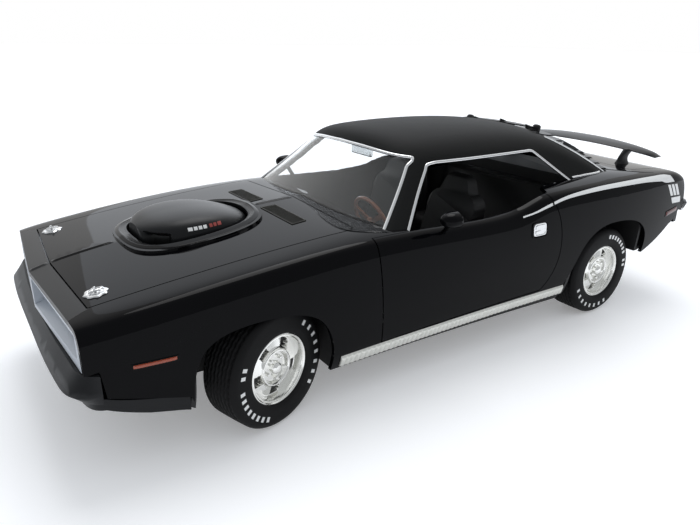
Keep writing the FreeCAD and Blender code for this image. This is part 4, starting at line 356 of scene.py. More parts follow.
# Poles of the glasshouse skin, one list for each column from the base of the
# windshield over the roof to the base of the rear glass, and in each from
# the side base to the centre line, as shares of HALF_WIDTH, HALF_LENGTH and
# the rise from glass_base to roof_height.
GLASSHOUSE_SHARES = [
    [(0.941, -0.289, 0.000), (0.939, -0.303, 0.000), (0.931, -0.312, 0.000), (0.924, -0.317, 0.000),
     (0.762, -0.346, 0.000), (0.381, -0.365, 0.000), (0.000, -0.370, 0.000)],
    [(0.933, -0.226, 0.000), (0.867, -0.226, 0.185), (0.804, -0.225, 0.278), (0.781, -0.235, 0.309),
     (0.657, -0.274, 0.315), (0.333, -0.297, 0.321), (0.000, -0.303, 0.324)],
    [(0.926, -0.135, 0.000), (0.790, -0.135, 0.309), (0.667, -0.145, 0.586), (0.640, -0.156, 0.617),
     (0.524, -0.184, 0.673), (0.276, -0.203, 0.716), (0.000, -0.209, 0.728)],
    [(0.922, -0.068, 0.000), (0.789, -0.068, 0.355), (0.621, -0.094, 0.728), (0.583, -0.115, 0.769),
     (0.486, -0.147, 0.870), (0.257, -0.165, 0.938), (0.000, -0.171, 0.954)],
    [(0.922, -0.015, 0.000), (0.792, -0.015, 0.370), (0.646, -0.030, 0.710), (0.613, -0.045, 0.778),
     (0.495, -0.075, 0.907), (0.257, -0.086, 0.972), (0.000, -0.089, 0.988)],
    [(0.922, 0.075, 0.000), (0.800, 0.075, 0.370), (0.667, 0.075, 0.704), (0.640, 0.075, 0.775),
     (0.514, 0.075, 0.926), (0.267, 0.075, 0.988), (0.000, 0.075, 1.000)],
    [(0.922, 0.256, 0.000), (0.800, 0.256, 0.370), (0.672, 0.256, 0.698), (0.648, 0.256, 0.765),
     (0.524, 0.263, 0.914), (0.267, 0.263, 0.972), (0.000, 0.263, 0.985)],
    [(0.924, 0.391, 0.000), (0.806, 0.376, 0.340), (0.682, 0.368, 0.648), (0.659, 0.376, 0.710),
     (0.543, 0.383, 0.852), (0.267, 0.406, 0.914), (0.000, 0.414, 0.926)],
    [(0.926, 0.496, 0.000), (0.819, 0.466, 0.309), (0.724, 0.447, 0.549), (0.705, 0.459, 0.593),
     (0.610, 0.474, 0.710), (0.295, 0.504, 0.759), (0.000, 0.511, 0.772)],
    [(0.926, 0.602, 0.000), (0.848, 0.579, 0.216), (0.792, 0.564, 0.358), (0.773, 0.571, 0.401),
     (0.705, 0.602, 0.444), (0.324, 0.654, 0.432), (0.000, 0.669, 0.438)],
    [(0.926, 0.677, 0.000), (0.918, 0.692, 0.000), (0.903, 0.707, 0.000), (0.876, 0.718, 0.000),
     (0.800, 0.752, 0.000), (0.362, 0.805, 0.000), (0.000, 0.820, 0.000)],
]

SILL, WAIST, GLASS_BASE, ROOF = 12.0 * MM, 31.0 * MM, 46.0 * MM, 78.4 * MM
CABIN_MIDDLE = np.array([0.0, 0.01, 0.04])

# Spans of the section's rows on the body's side and top, and how finely the
# skins are tabled and their slopes taken.
SIDE_ROWS, TOP_ROWS = (0.0, 5.6), (3.4, 9.0)
LENGTH_STEPS, SECTION_STEPS, SLOPE_STEP = 600, 241, 1e-3

# A face counts as part of the top when its normal rises by this share, and
# takes the skin's normal when the two agree by that share.
TOP_SHARE, AGREE_SHARE = 0.6, 0.955


def basis(count, at):
    """Cubic B-spline weights, ends clamped: the usual recursion from steps to cubics."""
    knots = np.concatenate([np.zeros(3), np.arange(count - 2), np.full(3, count - 3)]).astype(float)
    at = np.clip(np.asarray(at, float), 0.0, count - 3 - 1e-9)[..., None]
    weights = ((at >= knots[:-1]) & (at < knots[1:])).astype(float)
    for degree in (1, 2, 3):
        span = len(knots) - 1 - degree
        left, right = knots[degree:degree + span] - knots[:span], knots[degree + 1:] - knots[1:span + 1]
        rise = np.where(left > 0, (at - knots[:span]) / np.where(left > 0, left, 1), 0)
        fall = np.where(right > 0, (knots[degree + 1:] - at) / np.where(right > 0, right, 1), 0)
        weights = rise * weights[..., :span] + fall * weights[..., 1:span + 1]
    return weights


def body_poles():
    """Poles of the left body skin: each station times each row of the section."""
    along, wide, shoulder, edge, centre = np.array(STATION_SHARES).T[:, :, None]
    low_x, low_rise = np.array(LOW_ROW_SHARES).T
    high_x, high_rise = np.array(HIGH_ROW_SHARES).T
    top_x, top_rise = np.array(TOP_ROW_SHARES).T
    x = np.concatenate([low_x * wide, high_x * wide, top_x + 0 * wide], 1) * HALF_WIDTH
    z = np.concatenate([SILL + low_rise * (WAIST - SILL) + 0 * wide,
                        WAIST + high_rise * (shoulder * BELT - WAIST),
                        (edge + top_rise * (centre - edge)) * BELT], 1)
    return np.stack([x, along * HALF_LENGTH + 0 * x, z], -1)


def glass_poles():
    """Poles of the whole glasshouse skin, left side base to right side base."""
    left = np.array(GLASSHOUSE_SHARES) * (HALF_WIDTH, HALF_LENGTH, ROOF - GLASS_BASE)
    left[..., 2] += GLASS_BASE
    return np.concatenate([left, left[:, -2::-1] * (-1, 1, 1)], 1)


BODY_POLES = body_poles()
GLASS_POLES = glass_poles()


def skin(poles, u, v):
    """Point of a skin: poles weighted by the basis along and across."""
    u, v = np.broadcast_arrays(u, v)
    rows = np.tensordot(basis(poles.shape[0], u), poles, 1)
    return (rows * basis(poles.shape[1], v)[..., None]).sum(-2)


def skin_normal(poles, u, v):
    """Outward unit normal: cross product of the two slopes of the skin."""
    along = skin(poles, u + SLOPE_STEP, v) - skin(poles, u - SLOPE_STEP, v)
    across = skin(poles, u, v + SLOPE_STEP) - skin(poles, u, v - SLOPE_STEP)
    return unit(np.cross(along, across))


def find(poles, u, axis, value, start, end):
    """Place v along a section at which a coordinate, monotone there, has a value."""
    table = np.linspace(start, end, SECTION_STEPS)
    section = basis(poles.shape[0], u) @ poles[..., axis] @ basis(poles.shape[1], table).T
    target = np.asarray(value)[..., None]
    rising = section[..., -1:] > section[..., :1]
    before = np.where(rising, section < target, section > target).sum(-1)
    at = np.clip(before, 1, len(table) - 1)
    low = np.take_along_axis(section, (at - 1)[..., None], -1)[..., 0]
    high = np.take_along_axis(section, at[..., None], -1)[..., 0]
    share = np.clip((value - low) / np.where(high == low, 1, high - low), 0, 1)
    return table[at - 1] + share * (table[at] - table[at - 1])


def along_body(y):
    """Place u of the body skin at a length, since each station is a plane."""
    table = np.linspace(0, len(STATION_SHARES) - 3, LENGTH_STEPS)
    return np.interp(y, basis(len(STATION_SHARES), table) @ BODY_POLES[:, 0, 1], table)


def on_side(y, z):
    """Points and normals of the left body side at length y and height z."""
    u = along_body(np.asarray(y, float))
    v = find(BODY_POLES, u, 2, z, *SIDE_ROWS)
    normal = skin_normal(BODY_POLES, u, v)
    return skin(BODY_POLES, u, v), normal * np.sign(normal[..., :1])


def on_top(x, y):
    """Points and normals of the body's top at half width x and length y."""
    u = along_body(np.asarray(y, float))
    v = find(BODY_POLES, u, 0, np.abs(x), *TOP_ROWS)
    point, normal = skin(BODY_POLES, u, v), skin_normal(BODY_POLES, u, v)
    normal = normal * np.sign(normal[..., 2:])
    turn = np.stack([np.where(np.asarray(x) < 0, -1.0, 1.0), np.ones_like(u), np.ones_like(u)], -1)
    return point * turn, normal * turn


def on_glasshouse(u, v):
    """Points of the glasshouse skin at u and v, and normals away from the cabin's middle."""
    point, normal = skin(GLASS_POLES, u, v), skin_normal(GLASS_POLES, u, v)
    return point, normal * np.sign(((point - CABIN_MIDDLE) * normal).sum(-1, keepdims=True))


def shade_by_skin(mesh):
    """Corner normals from the formula of the body skin where a face lies along it."""
    count, corners = len(mesh.vertices), len(mesh.loops)
    points, own = np.zeros(count * 3), np.zeros(corners * 3)
    mesh.vertices.foreach_get("co", points)
    mesh.corner_normals.foreach_get("vector", own)
    vertex = np.zeros(corners, int)
    mesh.loops.foreach_get("vertex_index", vertex)
    sizes, flat = np.zeros(len(mesh.polygons), int), np.zeros(len(mesh.polygons) * 3)
    mesh.polygons.foreach_get("loop_total", sizes)
    mesh.polygons.foreach_get("normal", flat)
    face = np.repeat(flat.reshape(-1, 3), sizes, 0)
    points, own = points.reshape(-1, 3), own.reshape(-1, 3)
    turn = np.where(points[:, :1] < 0, (-1.0, 1.0, 1.0), (1.0, 1.0, 1.0))
    top = on_top(points[:, 0], points[:, 1])[1]
    side = on_side(points[:, 1], np.clip(points[:, 2], SILL, BELT * 1.1))[1] * turn
    chosen = np.where(np.abs(face[:, 2:]) > TOP_SHARE, top[vertex], side[vertex])
    near = (chosen * face).sum(-1, keepdims=True) > AGREE_SHARE
    mesh.normals_split_custom_set(np.where(near, chosen, own).tolist())


FINISH_TABLE = {
    "paint_black": ((7, 7, 9), 0.12, dict(spread=0.2, rough_spread=0.03, coat=0.8, coat_roughness=0.03,
                                          coat_ior=1.20, bump=0.02, bump_distance=0.00002, scale=400.0,
                                          specular=0.0)),
    "paint_satin": ((21, 22, 24), 0.36, dict(spread=0.25, bump=0.08, bump_distance=0.00004, scale=2200.0,
                                             specular=0.2)),
    "vinyl": ((20, 21, 21), 0.6, dict(spread=0.5, bump=0.6, bump_distance=0.00012, scale=1500.0,
                                      specular=0.08)),
    "black_plastic": ((16, 16, 17), 0.42, dict(spread=0.3, bump=0.15, bump_distance=0.00005)),
    "argent": ((186, 192, 200), 0.36, dict(spread=0.12, metallic=0.15, bump=0.08, bump_distance=0.00004,
                                           scale=2600.0)),
    "chrome_trim": ((222, 223, 224), 0.10, dict(spread=0.06, rough_spread=0.10, metallic=1.0)),
    "bumper_paint": ((24, 25, 27), 0.42, dict(spread=0.2, bump=0.06, bump_distance=0.00004, specular=0.2)),
    "interior": ((20, 20, 21), 0.55, dict(spread=0.4, bump=0.3)),
    "wood_rim": ((150, 84, 44), 0.30, dict(spread=0.7, broad=160.0, coat=0.5)),
    "chassis": ((20, 20, 21), 0.6, dict(spread=0.4, bump=0.2)),
    "engine_paint": ((190, 84, 36), 0.35, dict(spread=0.2)),
    "sill_metal": ((226, 226, 220), 0.3, dict(spread=0.1, rough_spread=0.2, metallic=0.6)),
    "rim_metal": ((243, 243, 240), 0.16, dict(spread=0.08, rough_spread=0.12, metallic=1.0)),
    "tyre": ((16, 16, 17), 0.6, dict(spread=0.35, bump=0.25, bump_distance=0.00008, scale=1300.0,
                                     specular=0.15)),
    "stripe_white": ((232, 233, 232), 0.35, dict(spread=0.06, coat=0.4)),
    "mark_red": ((150, 52, 44), 0.35, dict(spread=0.1, coat=0.4)),
    "marker_front": ((150, 66, 42), 0.25, dict(spread=0.4, coat=0.3)),
    "marker_rear": ((84, 26, 24), 0.22, dict(spread=0.4, coat=0.3)),
    "louvre": ((14, 14, 15), 0.40, dict(spread=0.3, bump=0.1, bump_distance=0.00005, specular=0.3)),
    "vent_grey": ((44, 44, 39), 0.5, dict(spread=0.4, specular=0.3)),
    "steel": ((120, 120, 122), 0.35, dict(spread=0.3, metallic=1.0)),
}
CLEAR_TINT, LENS_TINT, LENS_RED = (0.93, 0.96, 0.97), (0.9, 0.9, 0.88), (0.30, 0.008, 0.01)


def linear(name):
    """Linear colour of a finish from its screen colour."""
    share = np.array(FINISH_TABLE[name][0]) / 255.0
    return tuple(np.where(share <= 0.04045, share / 12.92, ((share + 0.055) / 1.055) ** 2.4))


def make_finishes(settings):
    """All finishes by name, in the settings' colours where they hold one."""
    grain_group()
    for name, (_, roughness, extra) in FINISH_TABLE.items():
        color = tuple(getattr(settings, name)) if name in COLOR_CHOICES else linear(name)
        FINISHES[name] = finish(name, color, roughness, **extra)
    FINISHES["clear"] = glass("clear", CLEAR_TINT)
    FINISHES["lens_clear"] = glass("lens_clear", LENS_TINT, 0.05)
    FINISHES["lens_red"] = finish("lens_red", LENS_RED, 0.2, coat=0.3, specular=0.2)


def both(*names):
    """Each name with _left and with _right."""
    return [name + "_" + side for name in names for side, _ in SIDES]


def wheels(name):
    """A name for each corner of the car."""
    return [name + "_" + corner for corner in CORNERS]


# Nodes that get a smooth copy, nodes of those on the body skin, and nodes
# that only change their finish.
SMOOTHED = {
    "paint_black": [*both("fender", "body_side"), "cowl_panel", "hood", "deck_lid", *both("door"),
                    "deck_filler_panel", "tail_panel", *both("door_mirror")],
    "paint_satin": ["nose_panel", "front_valance"],
    "vinyl": ["roof_panel"],
    "clear": ["windshield", "rear_glass"],
    "bumper_paint": ["front_bumper"],
    "argent": ["grille_surround"],
    "louvre": ["rear_louvres"],
    "chrome_trim": ["rear_bumper", "inner_mirror"],
    "interior": ["interior_tub", "dashboard", *both("seat"), "rear_seat"],
}
ON_SKIN = [*both("fender", "body_side", "door"), "cowl_panel", "hood", "nose_panel", "deck_lid",
           "deck_filler_panel"]
DRESSED = {
    "black_plastic": both("grille"),
    "steel": ["tie_rod"],
    "lens_clear": both("headlamp"),
    "lens_red": both("tail_lamp"),
    "chassis": ["chassis_pan", "front_crossmember", *both("knuckle"), "rear_axle", "exhaust"],
    "engine_paint": ["engine"],
    "wood_rim": ["steering_wheel"],
    "rim_metal": wheels("rim"),
    "tyre": wheels("tyre"),
}
PANEL_CREASE = 28.0
STRIP_REAR, STRIP_LOW = 96.3 * MM, 22.9 * MM


def node_body(node):
    """Name of the body that carries a node."""
    for body, members in frame["record"]["behaviour"]["bodies"].items():
        if node in members:
            return body
    raise KeyError(node)


def trim_below_arch(mesh):
    """Take away the narrow strip behind the rear wheel opening and close the cut."""
    work = bmesh.new()
    work.from_mesh(mesh)
    loose = [point for point in work.verts if point.co.y > STRIP_REAR and point.co.z < STRIP_LOW]
    bmesh.ops.delete(work, geom=loose, context="VERTS")
    bmesh.ops.holes_fill(work, edges=[edge for edge in work.edges if edge.is_boundary], sides=0)
    work.to_mesh(mesh)
    work.free()


def smooth_copy(node, name):
    """Merged copy of a node's mesh with smooth shading between creases."""
    mesh = frame["nodes"][node].data.copy()
    mesh.name = node + "_skin"
    mesh.materials.clear()
    mesh.materials.append(FINISHES[name])
    mesh.polygons.foreach_set("material_index", np.zeros(len(mesh.polygons), np.int32))
    tidy_mesh(mesh, PANEL_CREASE, outward=False)
    if node.startswith("body_side"):
        trim_below_arch(mesh)
    if node in ON_SKIN:
        shade_by_skin(mesh)
    obj = bpy.data.objects.new(node + "_skin", mesh)
    bpy.context.scene.collection.objects.link(obj)
    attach(obj, node_body(node))
    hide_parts(node)


class CAR_OT_finishes(bpy.types.Operator):
    """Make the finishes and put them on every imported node"""
    bl_idname = "model_car.finishes"
    bl_label = "Finishes"

    def execute(self, context):
        make_finishes(context.scene.model_car)
        for name, nodes in SMOOTHED.items():
            for node in nodes:
                smooth_copy(node, name)
        for name, nodes in DRESSED.items():
            for node in nodes:
                mesh = frame["nodes"][node].data
                mesh.materials.clear()
                mesh.materials.append(FINISHES[name])
        return {"FINISHED"}


# Settings: lengths in mm with their title, note, usual, least and greatest
# value, and colours with their title and note.

LENGTH_CHOICES = {
    "stripe_relief": ("Stripe relief", "Height of the stripes over the paint", 0.06, 0.02, 0.5),
    "crease_height": ("Crease height", "Height of the crease along the hood", 0.28, 0.0, 1.0),
    "groove_depth": ("Tread depth", "Depth of the wavy tread grooves", 0.55, 0.1, 1.2),
    "moulding_width": ("Moulding width", "Half width of the window mouldings", 0.55, 0.2, 1.0),
}
COLOR_CHOICES = {
    "paint_black": ("Body paint", "Colour of the gloss body paint"),
    "paint_satin": ("Satin paint", "Colour of the satin nose, scoop and wing"),
    "vinyl": ("Roof cover", "Colour of the grained roof cover"),
    "stripe_white": ("Stripe", "Colour of the side stripes and the tyre marks"),
    "bumper_paint": ("Bumper", "Colour of the front bumper"),
    "interior": ("Interior", "Colour of the seats and the tub"),
    "marker_front": ("Front marker", "Colour of the front side markers"),
}


class CAR_PG_settings(bpy.types.PropertyGroup):
    """Sizes and colours of the model car's dress"""
    lamp_energy: bpy.props.FloatProperty(
        name="Lamp", description="Strength of the stage's sun lamps", default=1.0, min=0.0, max=5.0)
    for label, (title, note, usual, least, most) in LENGTH_CHOICES.items():
        __annotations__[label] = bpy.props.FloatProperty(
            name=title, description=note, default=usual * MM, min=least * MM, max=most * MM,
            unit="LENGTH", precision=6)
    for label, (title, note) in COLOR_CHOICES.items():
        __annotations__[label] = bpy.props.FloatVectorProperty(
            name=title, description=note, default=linear(label), size=3, min=0.0, max=1.0,
            subtype="COLOR")
    del label, title, note, usual, least, most


# Wheels, made in the wheel's own frame: local X outwards from the tyre's
# inner face. Places in metres, the rest of the sizes in mm.

TYRE_WIDTH, TYRE_RADIUS, TYRE_MIDDLE = 13.8, 18.3, 6.9
KINGPIN = np.array([39.8, -79.6, TYRE_RADIUS]) * MM
REAR_AXLE = np.array([0.0, 72.8, TYRE_RADIUS]) * MM
FRONT_SHIFT, REAR_SHIFT = (43.0 - 39.8 - TYRE_MIDDLE) * MM, (43.6 - TYRE_MIDDLE) * MM
PARKED_TURN = math.radians(17.8)

# Section of the tyre from bead to tread (x, radius), the tread with its
# crown, the wavy grooves and the sipes at both shoulders.
WALL = np.array([(0.5, 11.0), (0.15, 11.7), (0.0, 12.6), (0.0, 16.2), (0.25, 17.1), (0.9, 17.75)]).T
INNER_X, INNER_RADIUS = [13.2, 0.6], 10.95
TREAD_SPAN, TREAD_HALF, CROWN_RADIUS, CROWN_DROP = (1.5, 12.3), 5.4, 18.28, 0.10
GROOVED, GROOVED_RADIUS, FIRST_GROOVE = (1.8, 12.0), 17.9, 2.6
TREAD_STEP, GROOVE_HALF, WAVE_HEIGHT, WAVES = 1.43, 0.36, 0.2, 45.0
SIPED, SIPES, SIPE_EDGE, SIPE_DEPTH = (2.4, 11.4), 60.0, 0.55, 0.3

# Plain marks on the tyre's side, in arcs of (start, count, step) in degrees.
MARK_RADII, MARK_HALF, MARK_PROUD, MARK_THICK = (14.15, 15.75), 0.55, 0.02, 0.3
MARK_ARCS = {"f": ((40, 8, 12.6), (203.5, 8, 8.9), (284, 2, 8.9)),
             "r": ((8, 8, 8.2), (81, 2, 8.2), (160, 8, 12.6))}

# Section of the rim (x, radius) from its inner edge over the lip, its face
# (radius, x) from the middle outwards, the slots and nuts in the face, and
# the plain back. Slot bottoms sunk past a share take the black finish as
# painted shade in the slots.
RIM_EDGE = [(0.6, 9.7), (0.6, 10.95), (0.9, 11.0), (12.6, 11.0), (13.1, 10.85), (13.2, 10.6), (12.9, 10.3),
            (12.55, 10.25), (12.7, 10.1), (12.75, 9.85), (12.45, 9.7), (11.0, 9.5), (10.2, 9.2)]
RIM_FACE = [(0.0, 12.9), (1.0, 12.8), (1.7, 12.3), (1.9, 11.9), (2.0, 10.8), (4.5, 10.7), (4.7, 11.6),
            (5.1, 12.1), (5.5, 12.0), (5.8, 11.4), (6.2, 11.1), (8.6, 10.3), (9.2, 10.2)]
RIM_BACK = [(0.6, 9.7), (9.0, 9.6), (9.1, 6.0), (8.9, 3.2), (6.3, 3.2), (6.3, 1.7)]
SLOTS, SLOT_RADIUS, SLOT_REACH, SLOT_LONG, SLOT_TALL, SLOT_DEPTH = 5, 7.35, 1.35, 0.25, 0.15, 2.4
FACE_FROM, SLOT_SHADE_SHARE = 9.5, 0.9
NUT, NUT_CIRCLE = [(10.6, 0.62), (11.9, 0.62), (12.1, 0.45), (12.1, 0.0)], 3.3


def wheel_place(corner):
    """Carries local wheel points (outwards, along, up) to a corner of the car."""
    side = 1.0 if corner.endswith("l") else -1.0
    steered = corner.startswith("f")
    turn = PARKED_TURN if steered else 0.0
    pivot = KINGPIN * (side, 1, 1) if steered else REAR_AXLE
    shift = FRONT_SHIFT if steered else REAR_SHIFT
    out = np.array([math.cos(turn), math.sin(turn), 0.0]) * side
    along = np.array([-math.sin(turn), math.cos(turn), 0.0]) * side

    def carry(points):
        points = np.asarray(points)
        return (pivot + (points[..., :1] + shift) * out + points[..., 1:2] * along
                + points[..., 2:] * np.array([0.0, 0.0, 1.0]))
    return carry


def turned(profile, count):
    """Profile (x, radius) turned about the axle: (x, r sin a, r cos a)."""
    angle = np.linspace(0, 2 * np.pi, count, endpoint=False)[:, None]
    x, radius = np.asarray(profile, float).T
    return np.stack([x + 0 * angle, radius * np.sin(angle), radius * np.cos(angle)], -1), angle


def tyre(corner, depth):
    """Tyre: a turned section with wavy tread grooves and raised plain blocks."""
    wall_x, wall_radius = WALL
    tread = np.linspace(*TREAD_SPAN, 90)
    crown = CROWN_RADIUS - CROWN_DROP * ((tread - TYRE_MIDDLE) / TREAD_HALF) ** 2
    x = np.concatenate([wall_x, tread, TYRE_WIDTH - wall_x[::-1], INNER_X]) * MM
    r = np.concatenate([wall_radius, crown, wall_radius[::-1], [INNER_RADIUS] * 2]) * MM
    points, angle = turned(np.stack([x, r], -1), 180)
    across = points[..., 0] / MM
    phase = (across + WAVE_HEIGHT * np.sin(angle * WAVES) - FIRST_GROOVE) / TREAD_STEP
    near = np.abs(phase - np.round(phase)) * TREAD_STEP
    on_tread = (across > GROOVED[0]) & (across < GROOVED[1])
    on_tread &= np.hypot(points[..., 1], points[..., 2]) > GROOVED_RADIUS * MM
    cut = np.where(on_tread, np.clip(1.0 - near / GROOVE_HALF, 0, 1) ** 0.5 * depth / MM, 0.0)
    sipes = ((across < SIPED[0]) | (across > SIPED[1])) & on_tread & (np.sin(angle * SIPES) > SIPE_EDGE)
    cut = np.maximum(cut, np.where(sipes, SIPE_DEPTH, 0.0)) * MM
    points[..., 1:] *= (1.0 - cut / (TYRE_RADIUS * MM))[..., None]
    carry = wheel_place(corner)
    shape = Shape().grid(carry(points), 0, close_rows=True, close_columns=True)
    span = np.linspace(-1, 1, 6)[:, None]
    radius = np.linspace(*MARK_RADII, 4)[None, :] * MM
    for start, count, step in MARK_ARCS[corner[0]]:
        for k in range(count):
            turn = math.radians(start + k * step) + span * MARK_HALF * MM / radius
            plate = np.stack([0 * turn + TYRE_WIDTH * MM + MARK_PROUD * MM, radius * np.sin(turn),
                              radius * np.cos(turn)], -1)
            shape.slab(carry(plate), carry(plate - (MARK_THICK * MM, 0, 0)), 1)
    shape.make("tyre_dressed_" + corner, ["tyre", "stripe_white"], "wheel_" + corner, "tyre", 35.0,
               ["tyre_" + corner])


def rim(corner):
    """Slotted wheel: a turned section, its face pressed in at five slots, the slot bottoms black as painted
    shade.
    """
    face_radius = np.linspace(RIM_EDGE[-1][1], 0.0, 70)
    face_x = np.interp(face_radius, *np.array(RIM_FACE).T)
    face = np.stack([face_x, face_radius], -1)
    points, angle = turned(np.concatenate([RIM_EDGE, face[1:]]) * MM, 200)
    radius = np.hypot(points[..., 1], points[..., 2]) / MM
    turn = np.mod(angle * SLOTS / (2 * np.pi), 1.0) - 0.5
    arc = np.abs(turn) * 2 * np.pi / SLOTS * radius
    edge = SLOT_REACH - np.maximum(arc - SLOT_LONG, np.abs(radius - SLOT_RADIUS) - SLOT_TALL)
    sunk = np.clip((np.clip(edge, -0.2, 0.25) + 0.1) / 0.3, 0, 1) * (points[..., 0] > FACE_FROM * MM)
    points[..., 0] -= sunk * SLOT_DEPTH * MM
    # Quads sunk past the share are painted shade: the black finish in the slot bottoms.
    slot_shade = (sunk[:, :-1] > SLOT_SHADE_SHARE)
    carry = wheel_place(corner)
    shape = Shape().grid(carry(points), slot_shade.ravel().astype(int), close_rows=True)
    nut = turned(np.array(NUT) * MM, 6)[0]
    for k in range(SLOTS):
        middle = 2 * np.pi * (k + 0.5) / SLOTS
        place = np.array([0.0, NUT_CIRCLE * MM * math.sin(middle), NUT_CIRCLE * MM * math.cos(middle)])
        shape.grid(carry(nut + place), 0, close_rows=True)
    shape.grid(carry(turned(np.array(RIM_BACK) * MM, 64)[0]), 1, close_rows=True)
    shape.make("rim_dressed_" + corner, ["rim_metal", "black_plastic"], "wheel_" + corner, "rim_metal",
               32.0, ["rim_" + corner])


class CAR_OT_wheels(bpy.types.Operator):
    """Tyres with grooves and plain blocks, and slotted chrome wheels"""
    bl_idname = "model_car.wheels"
    bl_label = "Wheels"

    def execute(self, context):
        for corner in CORNERS:
            tyre(corner, context.scene.model_car.groove_depth)
            rim(corner)
        return {"FINISHED"}


# Trim on the body's skin. Lines are (length, height) in mm.

STRIPE_LOW = [(20.3, 49.2), (26.0, 50.0), (32.7, 51.4), (41.0, 53.0), (49.4, 53.7), (62.0, 54.1), (74.4, 54.1),
              (90.0, 53.8), (99.0, 53.3), (106.6, 52.6)]
STRIPE_HIGH = [(20.3, 49.7), (26.0, 50.6), (32.7, 52.3), (41.0, 54.0), (49.4, 54.9), (62.0, 55.5), (74.4, 55.6),
               (90.0, 55.5), (99.0, 55.3), (106.2, 55.1)]


DOOR_REAR = [(31.65, 66.0), (35.1, 53.9), (39.4, 44.8), (40.6, 36.0), (38.8, 27.0)]
STRIPE_CUT_HEIGHT, STRIPE_CUT_HALF, LINE_STEPS = 53.0, 0.45, 400

# Plain bars at the stripe's rear end: the bend, three bars between a foot
# and a head (length, height in front, height behind, and the step of length
# and height from bar to bar), and the block below.
BEND = [(106.6, 52.6), (110.2, 51.6), (118.0, 51.1)], [(106.2, 55.1), (110.5, 54.8), (115.2, 54.0)]
BAR_WIDTH, BAR_ENDS = 2.3, [(114.8, 45.4, 45.2, 3.3, 0.3), (111.6, 50.5, 50.3, 3.4, 0.25)]
LAST_BLOCK = [(117.2, 41.7), (125.4, 41.1)], [(115.6, 44.4), (125.0, 43.8)]


def band(lower, upper, rows, columns):
    """Grid on the body side between two lines."""
    low, high = smooth_path(lower, columns), smooth_path(upper, columns)
    share = np.linspace(0, 1, rows)[:, None, None]
    flat = (low + share * (high - low)) * MM
    return on_side(flat[..., 0], flat[..., 1])


def raised(shape, points, normals, height, depth=0.25 * MM):
    """Closed slab that follows the skin, from under it to its own height."""
    shape.slab(points + normals * height, points - normals * depth)


def door_rear(z):
    """Length of the door's rear edge at a height, both in mm."""
    line = smooth_path(DOOR_REAR, 60)
    return float(np.interp(z, line[::-1, 1], line[::-1, 0]))


def stripe_part(shape, start, stop, relief, columns):
    """Part of the stripe between two shares of its length."""
    share, at = np.linspace(start, stop, columns), np.linspace(0, 1, LINE_STEPS)
    low, high = (np.stack([np.interp(share, at, line[:, k]) for k in (0, 1)], -1)
                 for line in (smooth_path(STRIPE_LOW, LINE_STEPS), smooth_path(STRIPE_HIGH, LINE_STEPS)))
    flat = low + np.linspace(0, 1, 5)[:, None, None] * (high - low)
    raised(shape, *on_side(flat[..., 0] * MM, flat[..., 1] * MM), relief)


def share_at(y):
    """Share of the stripe's length at which its lower edge has a length y."""
    line = smooth_path(STRIPE_LOW, LINE_STEPS)
    return float(np.interp(y, line[:, 0], np.linspace(0, 1, LINE_STEPS)))


class CAR_OT_stripes(bpy.types.Operator):
    """White side stripes that widen, turn down and end in plain bars"""
    bl_idname = "model_car.stripes"
    bl_label = "Stripes"

    def execute(self, context):
        relief = context.scene.model_car.stripe_relief
        edge = door_rear(STRIPE_CUT_HEIGHT)
        ahead = Shape()
        stripe_part(ahead, 0.0, share_at(edge - STRIPE_CUT_HALF), relief, 24)
        for name, side in SIDES:
            part = Shape()
            part.points = [points * (side, 1, 1) for points in ahead.points]
            part.faces, part.kinds, part.count = list(ahead.faces), list(ahead.kinds), ahead.count
            part.make("stripe_door_" + name, ["stripe_white"], "door_" + name, "paint_black", 40.0)
        shape = Shape()
        stripe_part(shape, share_at(edge + STRIPE_CUT_HALF), 1.0, relief, 90)
        blocks = [BEND]
        for k in range(3):
            blocks.append([[(y + step * k, front - drop * k), (y + step * k + BAR_WIDTH, rear - drop * k)]
                           for y, front, rear, step, drop in BAR_ENDS])
        for low, high in [*blocks, LAST_BLOCK]:
            raised(shape, *band(low, high, 6, 10), relief)
        shape.mirror().make("stripe_quarter", ["stripe_white"], "body", "paint_black", 40.0)
        return {"FINISHED"}


def pillow(count, half_long, half_tall, power=0.35):
    """Rounded rectangle: x and y are the sine and cosine to a small power."""
    t = np.linspace(0, 2 * np.pi, count, endpoint=False)
    return np.stack([np.sign(np.cos(t)) * np.abs(np.cos(t)) ** power * half_long,
                     np.sign(np.sin(t)) * np.abs(np.sin(t)) ** power * half_tall], -1)


def dish(shape, place, ring, levels, kind=0, middle=(0.0, 0.0)):
    """Rings of one outline in mm, each scaled by a share and lifted to a level."""
    points = np.stack([np.concatenate([ring * share + middle, np.full((len(ring), 1), level)], -1)
                       for share, level in levels])
    shape.grid(place(points * MM), kind, close_columns=True)


# Door handle: the patch of skin that it stands on, the dark dish behind, the
# bright frame, and the two plates as (rear, front, bottom, top, height).
HANDLE_PATCH = [(25.2, 42.0), (31.0, 42.0)], [(25.2, 46.2), (31.0, 46.2)]
HANDLE_DISH = (4.0, 2.9), [(1.0, -0.7), (1.0, 0.22), (0.96, 0.34), (0.89, 0.3), (0.85, 0.06), (0.0, 0.04)]
HANDLE_FRAME = (3.2, 2.3), [(1.0, -0.4), (1.0, 0.3), (0.95, 0.42), (0.84, 0.40), (0.78, 0.16), (0.0, 0.1)]
HANDLE_PLATES = (-2.35, 2.35, 0.15, 1.75, 0.62), (-2.2, 0.5, -1.5, -0.35, 0.5)

# Side markers: lower and upper line of each lens, what its rim adds to them,
# and the heights of lens and rim.
MARKERS = {"front": ([(-117.3, 31.75), (-106.4, 31.65)], [(-117.3, 32.75), (-106.4, 32.65)]),
           "rear": ([(112.2, 36.6), (122.4, 37.9)], [(112.2, 38.5), (122.4, 39.6)])}
MARKER_RIM = [(-0.5, -0.35), (0.5, -0.35)], [(-0.5, 0.35), (0.5, 0.35)]
LENS_HEIGHT, RIM_HEIGHT = 0.5, 0.16


